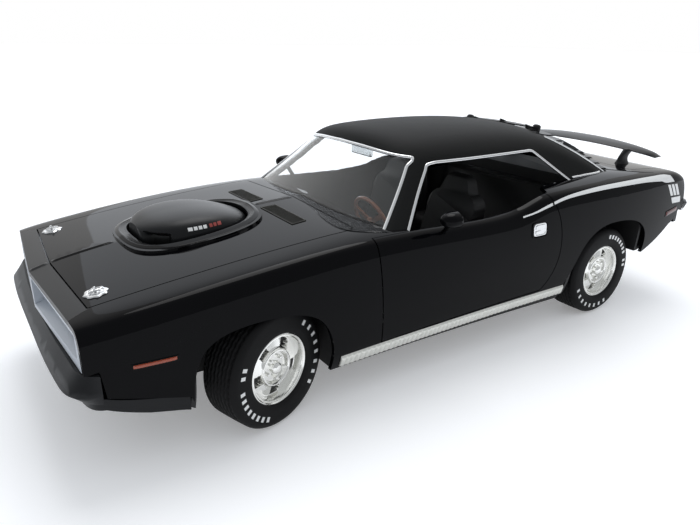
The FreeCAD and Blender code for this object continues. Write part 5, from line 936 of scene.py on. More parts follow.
def door_handle(name, side):
    """Handle on one door: a dish, a frame and two plates, all rounded rectangles."""
    shape = Shape()
    points, normals = band(*HANDLE_PATCH, 2, 2)
    place = frame_at(points.mean((0, 1)), normals.mean((0, 1)), (0, 1, 0))
    for kind, (half, levels) in ((1, HANDLE_DISH), (0, HANDLE_FRAME)):
        dish(shape, place, pillow(48, *half), levels, kind)
    for low, high, bottom, top, lift in HANDLE_PLATES:
        levels = [(1.0, 0.08), (1.0, lift - 0.1), (0.9, lift), (0.0, lift + 0.02)]
        dish(shape, place, pillow(32, (high - low) / 2, (top - bottom) / 2, 0.3), levels,
             middle=((low + high) / 2, (bottom + top) / 2))
    if side < 0:
        shape.points = [part * (-1, 1, 1) for part in shape.points]
    shape.make("door_handle_" + name, ["chrome_trim", "paint_black"], "door_" + name, "chrome_trim", 25.0)


class CAR_OT_side_trim(bpy.types.Operator):
    """Door handles and side markers"""
    bl_idname = "model_car.side_trim"
    bl_label = "Side trim"

    def execute(self, context):
        for name, side in SIDES:
            door_handle(name, side)
        row = np.linspace(-1, 1, 9)[:, None, None]
        column = np.linspace(-1, 1, 30)[None, :, None]
        bulge = np.clip((1 - row ** 4) * (1 - column ** 10), 0, 1) ** 0.5
        for name, lines in MARKERS.items():
            shape = Shape()
            rim_lines = [np.array(line) + more for line, more in zip(lines, MARKER_RIM)]
            for kind, (low, high), lift in ((0, lines, LENS_HEIGHT), (1, rim_lines, RIM_HEIGHT)):
                points, normals = band(low, high, 9, 30)
                dome = bulge * lift * MM
                shape.slab(points + normals * (dome + 0.02 * MM), points - normals * 0.3 * MM, kind)
            shape.mirror().make("marker_" + name, ["marker_" + name, "paint_black"], "body", "lens_red", 40.0)
        return {"FINISHED"}


SILL_LOW, SILL_HIGH = [(-56.3, 12.7), (46.9, 14.5)], [(-56.3, 16.8), (46.9, 18.3)]
SILL_RIBS, RIB_STEPS, RIB_FOOT, RIB_RISE = 54, 10, 0.45, 0.45


class CAR_OT_sills(bpy.types.Operator):
    """Sill mouldings: a rounded strip pressed into a row of upright ribs"""
    bl_idname = "model_car.sills"
    bl_label = "Sill mouldings"

    def execute(self, context):
        columns = SILL_RIBS * RIB_STEPS + 1
        points, normals = band(SILL_LOW, SILL_HIGH, 11, columns)
        row = np.linspace(-1, 1, 11)[:, None]
        phase = np.linspace(0, SILL_RIBS, columns)[None]
        height = (1 - row ** 6) * (RIB_FOOT + RIB_RISE * np.abs(np.sin(np.pi * phase)) ** 0.6) + 0.04
        for name, side in SIDES:
            turn = np.array([side, 1.0, 1.0])
            shape = Shape()
            shape.slab((points + normals * height[..., None] * MM) * turn, (points + normals * 0.02 * MM) * turn)
            shape.make("sill_ribs_" + name, ["sill_metal"], "body", "chrome_trim", 50.0,
                       ("sill_moulding_" + name,))
        return {"FINISHED"}


# Hood pins: place, the plate's rings (radius, height) with their petals, the
# stud and the wire clip, all in mm.
PIN_PLACE, PETALS, PETAL_SHARE = (31.3, -119.9), 8, 0.07
PIN_PLATE = [(3.0, -0.3), (3.05, 0.15), (2.75, 0.38), (2.2, 0.42), (1.9, 0.25), (1.5, 0.3), (1.25, 0.55),
             (0.7, 0.6), (0.0, 0.6)]
PIN_STUD = [(0.42, 0.5), (0.42, 1.5), (0.3, 1.75), (0.0, 1.8)]
PIN_WIRE = [(-1.9, -0.5, 0.75), (-0.6, -0.65, 1.05), (0.9, -0.6, 1.05), (1.9, 0.0, 0.95),
            (0.9, 0.6, 1.05), (-0.6, 0.65, 1.05), (-1.7, 0.3, 0.8)]
WIRE_RADIUS = 0.16

# Air grilles: corners in plan, the bars across and the frame round them.
GRILLE_CORNERS = [(5.0, -54.4), (24.2, -53.6), (24.6, -58.6), (4.6, -59.6)]
GRILLE_BARS, GRILLE_BAR, GRILLE_FRAME = 26, (0.13, 0.3), (0.25, 0.3)


class CAR_OT_hood_trim(bpy.types.Operator):
    """Hood pins, and air grilles on the hood's rear edge"""
    bl_idname = "model_car.hood_trim"
    bl_label = "Hood trim"

    def execute(self, context):
        pins, grilles = Shape(), Shape()
        for side in (1.0, -1.0):
            self.pin(pins, side)
            self.grille(grilles, side)
        pins.make("hood_pins", ["chrome_trim"], "hood", "chrome_trim", 28.0)
        grilles.make("hood_air_grilles", ["vent_grey", "louvre"], "hood", "paint_satin", 30.0)
        return {"FINISHED"}

    def pin(self, shape, side):
        """One pin: a petalled plate (rings r (1 + a cos 8t)), a turned stud and a wire."""
        x, y = PIN_PLACE
        point, normal = on_top(np.array([x * side * MM]), np.array([y * MM]))
        place = frame_at(point[0], normal[0], (0, 1, 0))
        t = np.linspace(0, 2 * np.pi, 96, endpoint=False)
        petals = 1 + PETAL_SHARE * np.cos(PETALS * t)
        plate = np.stack([np.stack([radius * petals * np.cos(t), radius * petals * np.sin(t), level + 0 * t], -1)
                          for radius, level in PIN_PLATE]) * MM
        shape.grid(place(plate), 0, close_columns=True)
        shape.lathe(np.array(PIN_STUD) * MM, place, 16)
        ring = WIRE_RADIUS * MM * np.stack([np.cos(t[::12]), np.sin(t[::12])], -1)
        shape.bar(place(smooth_path(np.array(PIN_WIRE) * MM, 40)), ring, normal[0])

    def grille(self, shape, side):
        """One air grille: a thin plate on the skin, bars across it and a frame."""
        corners = np.array(GRILLE_CORNERS) * MM
        share = np.linspace(0, 1, GRILLE_BARS + 2)[:, None]
        rear = corners[0] + share * (corners[1] - corners[0])
        front = corners[3] + share * (corners[2] - corners[3])
        plan = rear[:, None] + np.linspace(0, 1, 6)[None, :, None] * (front - rear)[:, None]
        points, normals = on_top(plan[..., 0] * side, plan[..., 1])
        shape.slab(points + normals * 0.04 * MM, points - normals * 0.2 * MM, 1)
        for path, normal in zip(points[1:-1], normals[1:-1]):
            lift = normal.mean(0)
            shape.bar(path + lift * 0.03 * MM, round_profile(*np.array(GRILLE_BAR) * MM, 6), lift)
        frame_profile = round_profile(*np.array(GRILLE_FRAME) * MM, 6)
        for edge in (0, -1):
            shape.bar(points[edge], frame_profile, normals[edge].mean(0))
            shape.bar(points[:, edge], frame_profile, normals[:, edge].mean(0))


# Mouldings on the glasshouse skin. The search on it takes Newton steps, none
# longer than the longest, and divides by no smaller area of the two slopes.

NEWTON_STEPS, LONGEST_STEP, LEAST_AREA = 4, 0.2, 1e-9


def outline(runs, scale, count):
    """Points along runs of shares, straight or smooth, scaled and lifted to the glass base."""
    parts = []
    for run in runs:
        run = np.array(run)
        straight = run[0] + np.linspace(0, 1, count)[:, None] * (run[1] - run[0])
        parts.append(smooth_path(run, count) if len(run) > 2 else straight)
    return np.concatenate(parts) * (scale, ROOF - GLASS_BASE) + (0, GLASS_BASE)


def on_glass(axes, target, u_span, v_span):
    """Points and normals of the glasshouse where two coordinates, named by axes, have given values."""
    u_table, v_table = np.linspace(*u_span), np.linspace(*v_span)
    points = skin(GLASS_POLES, *np.meshgrid(u_table, v_table, indexing="ij"))
    u, v = nearest(points[..., axes], target, u_table, v_table)
    for _ in range(NEWTON_STEPS):
        u, v = refine(u, v, axes, target)
    return on_glasshouse(u, v)


def nearest(table, target, u_table, v_table):
    """Start values of u and v: the table point nearest to each target."""
    flat = table.reshape(-1, 2)
    gap = ((flat[None] - target.reshape(-1, 1, 2)) ** 2).sum(-1)
    best = gap.argmin(1)
    u = u_table[best // len(v_table)].reshape(target.shape[:-1])
    v = v_table[best % len(v_table)].reshape(target.shape[:-1])
    return u, v


def refine(u, v, axes, target):
    """One Newton step of u and v towards a target seen along the third axis."""
    here = skin(GLASS_POLES, u, v)[..., axes]
    slope_u = (skin(GLASS_POLES, u + SLOPE_STEP, v)[..., axes] - here) / SLOPE_STEP
    slope_v = (skin(GLASS_POLES, u, v + SLOPE_STEP)[..., axes] - here) / SLOPE_STEP
    gap = target - here
    area = slope_u[..., 0] * slope_v[..., 1] - slope_u[..., 1] * slope_v[..., 0]
    area = np.where(np.abs(area) < LEAST_AREA, LEAST_AREA, area)
    du = (gap[..., 0] * slope_v[..., 1] - gap[..., 1] * slope_v[..., 0]) / area
    dv = (slope_u[..., 0] * gap[..., 1] - slope_u[..., 1] * gap[..., 0]) / area
    return (np.clip(u + np.clip(du, -LONGEST_STEP, LONGEST_STEP), 0, GLASS_POLES.shape[0] - 3),
            np.clip(v + np.clip(dv, -LONGEST_STEP, LONGEST_STEP), 0, GLASS_POLES.shape[1] - 3))


# Edges of the windshield and the side window in shares, of the roof cover's
# rear end in mm (width, length), with the spans of u and v that hold them.
WINDSHIELD_EDGE = [[(0.872, -0.02), (0.8450, 0.110), (0.6000, 0.690)],
                   [(0.6000, 0.690), (0.5850, 0.745), (0.5400, 0.775), (0.2700, 0.825), (0.0, 0.840)]]
SIDE_EDGE = [[(-0.2400, 0.06), (-0.1000, 0.640)], [(-0.1000, 0.640), (-0.0880, 0.690), (-0.0600, 0.708)],
             [(-0.0600, 0.708), (0.2800, 0.716)], [(0.2800, 0.716), (0.2930, 0.708), (0.3000, 0.690)],
             [(0.3000, 0.690), (0.4220, 0.306)], [(0.4235, 0.30), (0.4240, 0.27)]]
VINYL_EDGE = [(27, 55), (33, 66), (36.5, 72), (38.5, 76), (41.2, 81)]
FRONT_SPANS = (0.02, 4.2, 130), (2.0, 8.0, 130)
SIDE_SPANS = (0.6, 7.9, 150), (0.2, 4.6, 120)
TOP_SPANS = (5.0, 7.98, 130), (0.3, 9.7, 160)

# The roof cover's foot: spans searched, its front and rear end, the greatest
# half width of the body's top, the least height, and how far a point of the
# roof has to rise past the body; and how many points are averaged.
FOOT_SPANS = (4.5, 7.9, 200), (0.0, 4.9, 160)
FOOT_FRONT, FOOT_REAR, TOP_WIDTH = 56.3 * MM, 90.0 * MM, 47.0 * MM
FOOT_LOW, FOOT_RISE, FOOT_AVERAGE = 54.0 * MM, 0.15 * MM, 9


def carried(shape, point, normal, half, height, count):
    """Moulding along a line on a skin, upright on its normals: a grid of half-round sections."""
    side = unit(np.cross(unit(np.gradient(point, axis=0)), normal))
    across, up = round_profile(half, height, count).T[:, :, None]
    points = point[:, None] + across * side[:, None] + up * normal[:, None]
    shape.grid(points, close_columns=True).cap(points[0]).cap(points[-1])


def roof_foot():
    """Line where the glasshouse meets the body's top: first place v at which it rises past it."""
    u, v = np.linspace(*FOOT_SPANS[0])[:, None], np.linspace(*FOOT_SPANS[1])[None]
    points = skin(GLASS_POLES, u, v)
    flat = points.reshape(-1, 3)
    level = on_top(np.minimum(flat[:, 0], TOP_WIDTH), flat[:, 1])[0][:, 2].reshape(points.shape[:2])
    above = (points[..., 2] > level + FOOT_RISE) & (points[..., 2] > FOOT_LOW)
    first = np.maximum(above.argmax(1), 1)
    path = points[np.arange(len(first)), first]
    path = path[above.any(1) & (path[:, 1] > FOOT_FRONT) & (path[:, 1] < FOOT_REAR)]
    path = path[path[:, 1].argsort()]
    kernel, reach = np.ones(FOOT_AVERAGE) / FOOT_AVERAGE, FOOT_AVERAGE // 2
    before, after = path[reach:0:-1], path[-2:-2 - reach:-1]
    padded = np.concatenate([2 * path[:1] - before, path, 2 * path[-1:] - after])
    path = np.stack([np.convolve(padded[:, k], kernel, "valid") for k in range(3)], -1)
    outward = on_top(np.minimum(path[:, 0], TOP_WIDTH), path[:, 1])[1] + np.array([0.8, 0.0, 0.0])
    return path, unit(outward)


def even(point, normal, count):
    """The same line in even steps, with smoothed normals, without doubles."""
    step = np.linalg.norm(np.diff(point, axis=0), axis=-1)
    keep = np.concatenate([[True], step > 1e-6])
    point, normal = point[keep], normal[keep]
    length = np.concatenate([[0], np.cumsum(np.linalg.norm(np.diff(point, axis=0), axis=-1))])
    at = np.linspace(0, length[-1], count)
    point, normal = (np.stack([np.interp(at, length, line[:, k]) for k in range(3)], -1)
                     for line in (point, normal))
    return point, unit(normal)


class CAR_OT_mouldings(bpy.types.Operator):
    """Bright mouldings round the windshield, the side windows and the vinyl roof"""
    bl_idname = "model_car.mouldings"
    bl_label = "Mouldings"

    def execute(self, context):
        half = context.scene.model_car.moulding_width
        shape = Shape()
        line = outline(WINDSHIELD_EDGE, HALF_WIDTH, 40)
        carried(shape, *even(*on_glass((0, 2), line, *FRONT_SPANS), 120), half, 0.45 * MM, 9)
        line = outline(SIDE_EDGE, HALF_LENGTH, 30)
        carried(shape, *even(*on_glass((1, 2), line, *SIDE_SPANS), 160), half, 0.45 * MM, 9)
        carried(shape, *even(*roof_foot(), 70), 0.5 * MM, 0.45 * MM, 8)
        point, normal = on_glass((0, 1), smooth_path(VINYL_EDGE, 50) * MM, *TOP_SPANS)
        carried(shape, *even(point + 0.25 * MM * normal, normal, 60), 0.4 * MM, 0.4 * MM, 8)
        shape.mirror().make("window_mouldings", ["chrome_trim"], "body", "chrome_trim", 40.0)
        return {"FINISHED"}


# Rear wing in mm: half of the blade, by (half width, front edge, rear edge,
# height in front, height behind, thickness), and a post, by (height, front,
# rear, half thickness).
WING_HALF = [(0.0, 106.4, 117.0, 64.1, 65.7, 1.2), (14.0, 106.9, 117.4, 63.9, 65.3, 1.2),
             (27.0, 108.8, 118.6, 62.9, 63.9, 1.2), (36.0, 112.4, 120.0, 61.4, 62.0, 1.0),
             (40.0, 115.6, 120.8, 60.1, 60.3, 0.6)]
WING_STATIONS = [(-station[0], *station[1:]) for station in WING_HALF[:0:-1]] + WING_HALF
WING_POST = [(54.6, 101.7, 113.3, 2.2), (56.6, 102.8, 112.6, 1.7), (58.0, 104.2, 111.8, 1.2),
             (60.0, 105.6, 112.0, 1.0), (63.0, 108.8, 115.2, 1.4)]
POST_PLACE, POST_POWER = 29.4, 0.8
KNOB_PLACE, KNOB_HALF = (19.1, 59.3, 73.6), (1.7, 1.1, 0.6)
KNOB_LEVELS = [(1.0, -0.8), (1.0, 1.3), (0.85, 1.8), (0.45, 2.1), (0.0, 2.15)]


class CAR_OT_wing(bpy.types.Operator):
    """Rear wing: a cambered blade on two posts, and the knobs of the rear louvres"""
    bl_idname = "model_car.wing"
    bl_label = "Rear wing"

    def execute(self, context):
        shape = Shape()
        x, lead, trail, front, rear, thick = (smooth_path(WING_STATIONS, 120) * MM).T[:, :, None]
        turn = np.linspace(0, 2 * np.pi, 40, endpoint=False)[None]
        chord = (1 - np.cos(turn)) / 2
        camber = 0.25 * thick * np.sin(np.pi * chord)
        z = front + chord * (rear - front) + camber + 0.5 * thick * np.sin(turn) * (1.15 - 0.55 * chord)
        y = lead + chord * (trail - lead)
        points = np.stack([x + 0 * y, y, z], -1)
        shape.grid(points, close_columns=True).cap(points[0]).cap(points[-1])
        z, lead, trail, half = (smooth_path(WING_POST, 30) * MM).T[:, :, None]
        angle = np.linspace(0, 2 * np.pi, 28, endpoint=False)[None]
        wave = np.cos(angle)
        y = (lead + trail) / 2 + (trail - lead) / 2 * np.sign(wave) * np.abs(wave) ** POST_POWER
        for side in (1.0, -1.0):
            x = side * POST_PLACE * MM + half * np.sign(np.sin(angle)) * np.abs(np.sin(angle)) ** POST_POWER
            points = np.stack([x, y, z + 0 * x], -1)
            shape.grid(points, close_columns=True).cap(points[0]).cap(points[-1])
        shape.make("rear_wing_dressed", ["paint_satin"], "deck_lid", "paint_satin", 40.0, ("rear_wing",))
        knobs = Shape()
        for side in (1.0, -1.0):
            place = frame_at(np.array(KNOB_PLACE) * (side, 1, 1) * MM, (0.05 * side, 0.25, 1.0), (1, 0, 0))
            dish(knobs, place, pillow(32, *KNOB_HALF), KNOB_LEVELS)
        knobs.make("louvre_knobs", ["louvre"], "body", "black_plastic", 40.0)
        return {"FINISHED"}


# Scoop: plan of its opening as shares, and its stations by (share of the
# half length, share of the half width, height of the crown in mm).

SCOOP_MIDDLE, SCOOP_HALF, SCOOP_WIDE, SCOOP_FOOT = -83.5 * MM, 17.6 * MM, 16.2 * MM, 43.2 * MM
SCOOP_HOLE_SHARES = [(0.0, -1.0), (0.42, -0.965), (0.73, -0.85), (0.92, -0.62), (0.99, -0.32), (1.0, 0.0),
                     (0.95, 0.36), (0.80, 0.70), (0.55, 0.91), (0.28, 0.985), (0.0, 1.0)]
SCOOP_STATIONS = [(-0.985, 0.38, 53.0), (-0.93, 0.56, 53.8), (-0.80, 0.78, 54.9), (-0.55, 0.94, 56.0),
                  (-0.25, 1.0, 56.7), (0.05, 0.995, 56.8), (0.35, 0.95, 56.3), (0.65, 0.84, 55.2),
                  (0.88, 0.64, 53.8), (0.985, 0.46, 53.0)]
SCOOP_ROW_SHARES = [(1.0, 0.0), (1.0, 0.35), (1.0, 0.62), (0.95, 0.80), (0.80, 0.93), (0.50, 0.985),
                    (0.20, 1.0), (0.0, 1.0)]

# Intakes in the scoop's front: spans of the smooth steps along the scoop,
# of its height and of its width, the depth, and the sum of press over which
# a quad takes the black louvre finish as painted shade in the hollow.
INTAKE_FRONT, INTAKE_REAR = (-0.97, -0.91), (-0.66, -0.58)
INTAKE_TOP, INTAKE_INNER = (51.9 * MM, 52.7 * MM), (1.6 * MM, 2.6 * MM)
INTAKE_DEPTH, INTAKE_SHADE_SUM = 2.6, 1.4

# Bezel round the opening: section (outwards, up) in mm, of which rows 2 to 5
# lie wider at its ends, and rows 0 to 2, the inner wall, take the black
# louvre finish as painted shade of the gap round the scoop.
BEZEL_GAP, BEZEL_WIDEN, BEZEL_WIDE_ROWS, BEZEL_SHADE_ROWS = 1.0, 1.5, range(2, 6), range(3)
BEZEL_SECTION = [(-0.05, -0.9), (-0.05, 0.7), (0.3, 1.0), (0.5, 1.18), (0.75, 1.25), (1.05, 1.2), (3.0, 0.96),
                 (3.35, 0.88), (3.7, 0.6), (4.0, 0.25), (4.3, 0.02), (4.45, -0.12), (2.0, -0.7)]

# Creases on the middle line: body, finish, and spans of length in mm.
CREASES = {"hood_crease": ("hood", "paint_black", ((-125.2, -107.6), (-59.6, -45.6))),
           "nose_crease": ("body", "paint_satin", ((-131.4, -126.3),))}
CREASE_HALF, CREASE_END = 1.1, 8

# Plain marks on the scoop's side: (start, length) in mm, the first four
# white and the rest red; their heights, and how the row climbs to the rear.
MARKS = [(-89.0, 1.4), (-87.2, 1.1), (-85.7, 1.1), (-84.2, 1.1), (-82.2, 1.0), (-80.8, 1.0), (-79.4, 1.3)]
WHITE_MARKS, MARK_HEIGHTS, MARK_CLIMB, MARK_MIDDLE = 4, (53.0, 53.95), 0.035, 84.0


def scoop_opening(push, count=160):
    """Plan of the scoop's opening, grown by push, and its outward directions."""
    half = np.array(SCOOP_HOLE_SHARES) * (SCOOP_WIDE + push, SCOOP_HALF + push) + (0, SCOOP_MIDDLE)
    loop = smooth_loop(np.concatenate([half, half[-2:0:-1] * (-1, 1)]), count)
    ahead = unit(np.roll(loop, -1, 0) - np.roll(loop, 1, 0))
    return loop, np.stack([ahead[:, 1], -ahead[:, 0]], -1)


def scoop_poles():
    """Poles of the scoop's left half: each station times each row from foot to middle."""
    along, wide, top = np.array(SCOOP_STATIONS).T[:, :, None]
    across, rise = np.array(SCOOP_ROW_SHARES).T
    x = across * wide * SCOOP_WIDE
    z = SCOOP_FOOT + rise * (top * MM - SCOOP_FOOT)
    return np.stack([x, along * SCOOP_HALF + SCOOP_MIDDLE + 0 * x, z], -1)


def step(value, low, high):
    """Smooth step: 0 below low, 1 above high, 3t^2 - 2t^3 between."""
    t = np.clip((value - low) / (high - low), 0, 1)
    return t * t * (3 - 2 * t)


class CAR_OT_scoop(bpy.types.Operator):
    """Scoop of the engine, with an intake pressed into each side of its front"""
    bl_idname = "model_car.scoop"
    bl_label = "Scoop"

    def execute(self, context):
        half = scoop_poles()
        poles = np.concatenate([half, half[:, -2::-1] * (-1, 1, 1)], 1)
        u = np.linspace(0, len(SCOOP_STATIONS) - 3, 110)[:, None]
        v = np.linspace(0, poles.shape[1] - 3, 121)[None]
        points, normals = skin(poles, u, v), skin_normal(poles, u, v)
        normals *= np.sign((normals * (points - (0, SCOOP_MIDDLE, SCOOP_FOOT))).sum(-1, keepdims=True))
        along = (points[..., 1] - SCOOP_MIDDLE) / SCOOP_HALF
        press = step(along, *INTAKE_FRONT) * (1 - step(along, *INTAKE_REAR))
        press *= 1 - step(points[..., 2], *INTAKE_TOP)
        press *= step(np.abs(points[..., 0]), *INTAKE_INNER)
        points = points - normals * press[..., None] * INTAKE_DEPTH * MM
        # Quads deep in the intakes take the black louvre finish: painted shade in the hollows.
        intake_shade = (press[:-1, :-1] + press[1:, 1:]) > INTAKE_SHADE_SUM
        shape = Shape()
        kind = np.concatenate([intake_shade, np.zeros((len(intake_shade), 1), bool)], 1)
        shape.grid(points, kind.astype(int).ravel(), close_columns=True)
        shape.cap(points[0]).cap(points[-1])
        shape.make("scoop_dressed", ["paint_satin", "louvre"], "body", "paint_satin", 40.0, ("scoop",))
        return {"FINISHED"}


class CAR_OT_scoop_trim(bpy.types.Operator):
    """Bezel round the scoop, creases on the hood's middle line and plain marks"""
    bl_idname = "model_car.scoop_trim"
    bl_label = "Scoop trim"

    def execute(self, context):
        self.bezel()
        for name, (body, material, spans) in CREASES.items():
            self.crease(name, body, material, spans, context.scene.model_car.crease_height)
        self.marks()
        return {"FINISHED"}

    def bezel(self):
        """Section carried round the opening's plan and lifted on the hood's normals, its inner wall black as
        painted shade.
        """
        loop, out = scoop_opening(BEZEL_GAP * MM)
        section = np.array(BEZEL_SECTION) * MM
        row = np.arange(len(section))
        widen = np.isin(row, BEZEL_WIDE_ROWS) * MM
        offset = section[None, :, :1] + BEZEL_WIDEN * out[:, None, 1:] ** 2 * widen[:, None]
        plan = loop[:, None] + offset * out[:, None]
        points, normals = on_top(plan[..., 0], plan[..., 1])
        # The inner rows are painted shade: black finish for the gap round the scoop.
        kind = np.tile(np.isin(row, BEZEL_SHADE_ROWS).astype(int), len(loop))
        shape = Shape().grid(points + normals * section[None, :, 1:], kind, close_rows=True, close_columns=True)
        shape.make("scoop_bezel", ["paint_black", "louvre"], "hood", "paint_satin", 35.0)

    def crease(self, name, body, material, spans, crest):
        """Ridges on the skin: height is a cosine to the power 1.5 across, with ramped ends."""
        across, shape = np.linspace(-1, 1, 13), Shape()
        for front, rear in spans:
            y = np.linspace(front, rear, 40)[:, None] * MM
            points, normals = on_top(across * CREASE_HALF * MM + 0 * y, y + 0 * across)
            ends = np.clip(CREASE_END * np.minimum(y - front * MM, rear * MM - y) / (CREASE_END * MM), 0, 1)
            height = 0.02 * MM + crest * np.abs(np.cos(across * np.pi / 2)) ** 1.5 * ends
            shape.slab(points + normals * height[..., None], points - normals * 0.3 * MM)
        shape.make(name, [material], body, material, 60.0)

    def marks(self):
        """Thin plates on the scoop's sides, four white and three red."""
        shape, poles = Shape(), scoop_poles()
        u_table = np.linspace(0, len(SCOOP_STATIONS) - 3, 400)
        y_table = basis(len(SCOOP_STATIONS), u_table) @ poles[:, 0, 1]
        for k, (start, length) in enumerate(MARKS):
            y = np.linspace(start, start + length, 6) * MM
            u = np.interp(y, y_table, u_table)[:, None] + np.zeros(4)
            level = np.linspace(*MARK_HEIGHTS, 4) + MARK_CLIMB * (start + MARK_MIDDLE)
            v = find(poles, u, 2, np.broadcast_to(level, (6, 4)) * MM, 0.5, 4.2)
            points, normals = skin(poles, u, v), skin_normal(poles, u, v)
            normals *= np.sign(normals[..., :1])
            shape.slab(points + normals * 0.07 * MM, points - normals * 0.2 * MM, int(k >= WHITE_MARKS))
        shape.mirror().make("scoop_marks", ["stripe_white", "mark_red"], "body", "paint_satin", 40.0)


# Stage: the floor's half size and glow, the sky's light and what a camera
# sees of it (brightness by how far a direction points at the bright side),
# the soft lamps (name, angle, share, colour, direction), and the camera that
# was fitted to the photograph.

FLOOR_REACH, FLOOR_GLOW, FLOOR_COLOR = 6.0, 0.23, (0.93, 0.94, 0.96)
SKY_COLOR, SKY_STRENGTH = (0.93, 0.96, 1.0, 1.0), 0.70
BRIGHT_SIDE, COOL = (-0.70, 0.50, 0.51), 0.94
SKY_LEVELS = ((0.0, 0.50), (0.15, 0.50), (0.45, 0.60), (0.70, 1.0), (1.0, 1.0))
LAMPS = (("key", 35.0, 1.0, (1.0, 1.0, 1.0), (-0.35, 0.30, 1.0)),
         ("window", 60.0, 0.5, (0.8, 0.88, 1.0), (-0.72, 0.50, 0.45)))
PHOTO_WIDTH, PHOTO_FOCUS, SENSOR = 700.0, 606.237, 36.0
CAMERA_PLACE = np.array([186.02, -146.755, 108.313]) * MM
CAMERA_AZIMUTH, CAMERA_ELEVATION, CAMERA_ROLL = 55.633, 20.419, 0.934


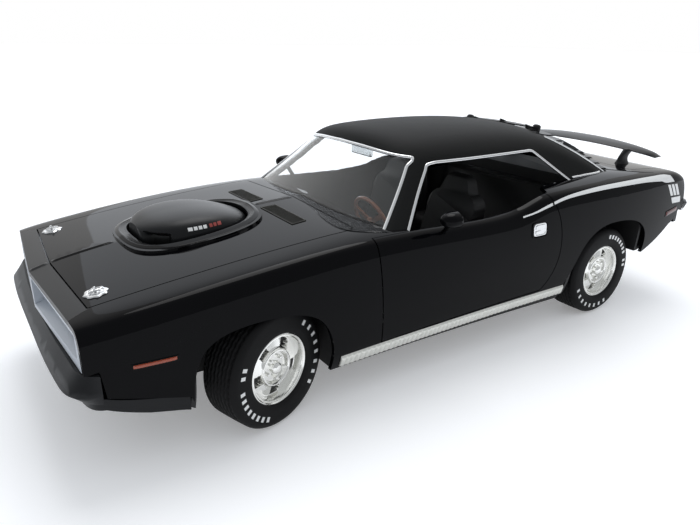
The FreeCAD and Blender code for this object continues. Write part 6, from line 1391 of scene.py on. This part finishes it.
class CAR_OT_stage(bpy.types.Operator):
    """Floor, soft lamps, world and the camera of the photograph"""
    bl_idname = "model_car.stage"
    bl_label = "Stage"

    def execute(self, context):
        scene = context.scene
        scene.view_settings.view_transform = "Standard"
        self.floor(scene)
        self.world(scene)
        for name, angle, share, color, place in LAMPS:
            lamp = bpy.data.lights.new(name, "SUN")
            lamp.color = color
            lamp.angle = math.radians(angle)
            lamp.energy = share * scene.model_car.lamp_energy
            holder = bpy.data.objects.new(name, lamp)
            scene.collection.objects.link(holder)
            holder.rotation_euler = (-Vector(place)).to_track_quat("-Z", "Y").to_euler()
        self.camera(scene)
        return {"FINISHED"}

    def floor(self, scene):
        """Pale floor that glows a little where the camera or a reflection sees it."""
        mesh = bpy.data.meshes.new("floor")
        corners = [(x * FLOOR_REACH, y * FLOOR_REACH, 0) for x, y in ((-1, -1), (1, -1), (1, 1), (-1, 1))]
        mesh.from_pydata(corners, [], [(0, 1, 2, 3)])
        floor = bpy.data.objects.new("floor", mesh)
        scene.collection.objects.link(floor)
        white = finish("floor_white", FLOOR_COLOR, 0.6, spread=0.01, specular=0.2)
        mesh.materials.append(white)
        shader = white.node_tree.nodes["Principled BSDF"]
        white.node_tree.links.new(seen_directly(white.node_tree), shader.inputs["Emission Color"])
        shader.inputs["Emission Strength"].default_value = FLOOR_GLOW

    def world(self, scene):
        """Even sky light, and for what is seen directly a bright side and a grey one."""
        world = bpy.data.worlds.new("studio")
        scene.world = world
        world.use_nodes = True
        nodes, links = world.node_tree.nodes, world.node_tree.links
        sky = nodes["Background"]
        sky.inputs["Color"].default_value = SKY_COLOR
        sky.inputs["Strength"].default_value = SKY_STRENGTH
        seen = nodes.new("ShaderNodeBackground")
        place = nodes.new("ShaderNodeTexCoord")
        ramp = nodes.new("ShaderNodeValToRGB")
        toward = nodes.new("ShaderNodeVectorMath")
        toward.operation = "DOT_PRODUCT"
        toward.inputs[1].default_value = BRIGHT_SIDE
        links.new(place.outputs["Generated"], toward.inputs[0])
        links.new(toward.outputs["Value"], ramp.inputs["Fac"])
        while len(ramp.color_ramp.elements) < len(SKY_LEVELS):
            ramp.color_ramp.elements.new(0.5)
        for element, (position, value) in zip(ramp.color_ramp.elements, SKY_LEVELS):
            element.position = position
            cool = COOL if value < 1.0 else 1.0
            element.color = (cool * value, (1.0 + cool) / 2 * value, value, 1.0)
        links.new(ramp.outputs["Color"], seen.inputs["Color"])
        mix = nodes.new("ShaderNodeMixShader")
        links.new(seen_directly(world.node_tree), mix.inputs["Fac"])
        links.new(sky.outputs["Background"], mix.inputs[1])
        links.new(seen.outputs["Background"], mix.inputs[2])
        links.new(mix.outputs["Shader"], nodes["World Output"].inputs["Surface"])

    def camera(self, scene):
        """Camera of the photograph, from its azimuth, elevation and roll."""
        data = bpy.data.cameras.new("camera")
        data.sensor_width = SENSOR
        data.lens = PHOTO_FOCUS / PHOTO_WIDTH * SENSOR
        data.clip_start = 0.01
        camera = bpy.data.objects.new("camera", data)
        scene.collection.objects.link(camera)
        azimuth, elevation, roll = map(math.radians, (CAMERA_AZIMUTH, CAMERA_ELEVATION, CAMERA_ROLL))
        back = np.array([math.sin(azimuth) * math.cos(elevation), -math.cos(azimuth) * math.cos(elevation),
                         math.sin(elevation)])
        level = np.array([math.cos(azimuth), math.sin(azimuth), 0.0])
        rise = np.cross(back, level)
        matrix = np.eye(4)
        matrix[:3, 0] = math.cos(roll) * level + math.sin(roll) * rise
        matrix[:3, 1] = -math.sin(roll) * level + math.cos(roll) * rise
        matrix[:3, 2], matrix[:3, 3] = back, CAMERA_PLACE
        camera.matrix_world = Matrix(matrix.tolist())
        scene.camera = camera


def seen_directly(tree):
    """Socket that is 1 for camera, glossy and transmission rays, the greatest of the three."""
    rays = tree.nodes.new("ShaderNodeLightPath")
    total = rays.outputs["Is Camera Ray"]
    for kind in ("Is Glossy Ray", "Is Transmission Ray"):
        most = tree.nodes.new("ShaderNodeMath")
        most.operation = "MAXIMUM"
        tree.links.new(total, most.inputs[0])
        tree.links.new(rays.outputs[kind], most.inputs[1])
        total = most.outputs[0]
    return total


class CAR_PT_pieces(bpy.types.Panel):
    """Sidebar panel with the model's pieces and settings"""
    bl_label = "Model car"
    bl_idname = "CAR_PT_pieces"
    bl_space_type = "VIEW_3D"
    bl_region_type = "UI"
    bl_category = "Model car"

    def draw(self, context):
        settings = context.scene.model_car
        column = self.layout.column()
        for name in CAR_PG_settings.__annotations__:
            column.prop(settings, name)
        for piece in PIECES:
            column.operator(piece.bl_idname)


PIECES = (CAR_OT_finishes, CAR_OT_wheels, CAR_OT_stripes, CAR_OT_side_trim, CAR_OT_sills, CAR_OT_hood_trim,
          CAR_OT_scoop, CAR_OT_scoop_trim, CAR_OT_mouldings, CAR_OT_wing, CAR_OT_stage)
CLASSES = (CAR_PG_settings, *PIECES, CAR_PT_pieces)


def register():
    for kind in CLASSES:
        bpy.utils.register_class(kind)
    bpy.types.Scene.model_car = bpy.props.PointerProperty(type=CAR_PG_settings)


def unregister():
    del bpy.types.Scene.model_car
    for kind in reversed(CLASSES):
        bpy.utils.unregister_class(kind)


def main():
    register()
    for kind in PIECES:
        group, call = kind.bl_idname.split(".")
        getattr(getattr(bpy.ops, group), call)()


if __name__ == "__main__":
    main()
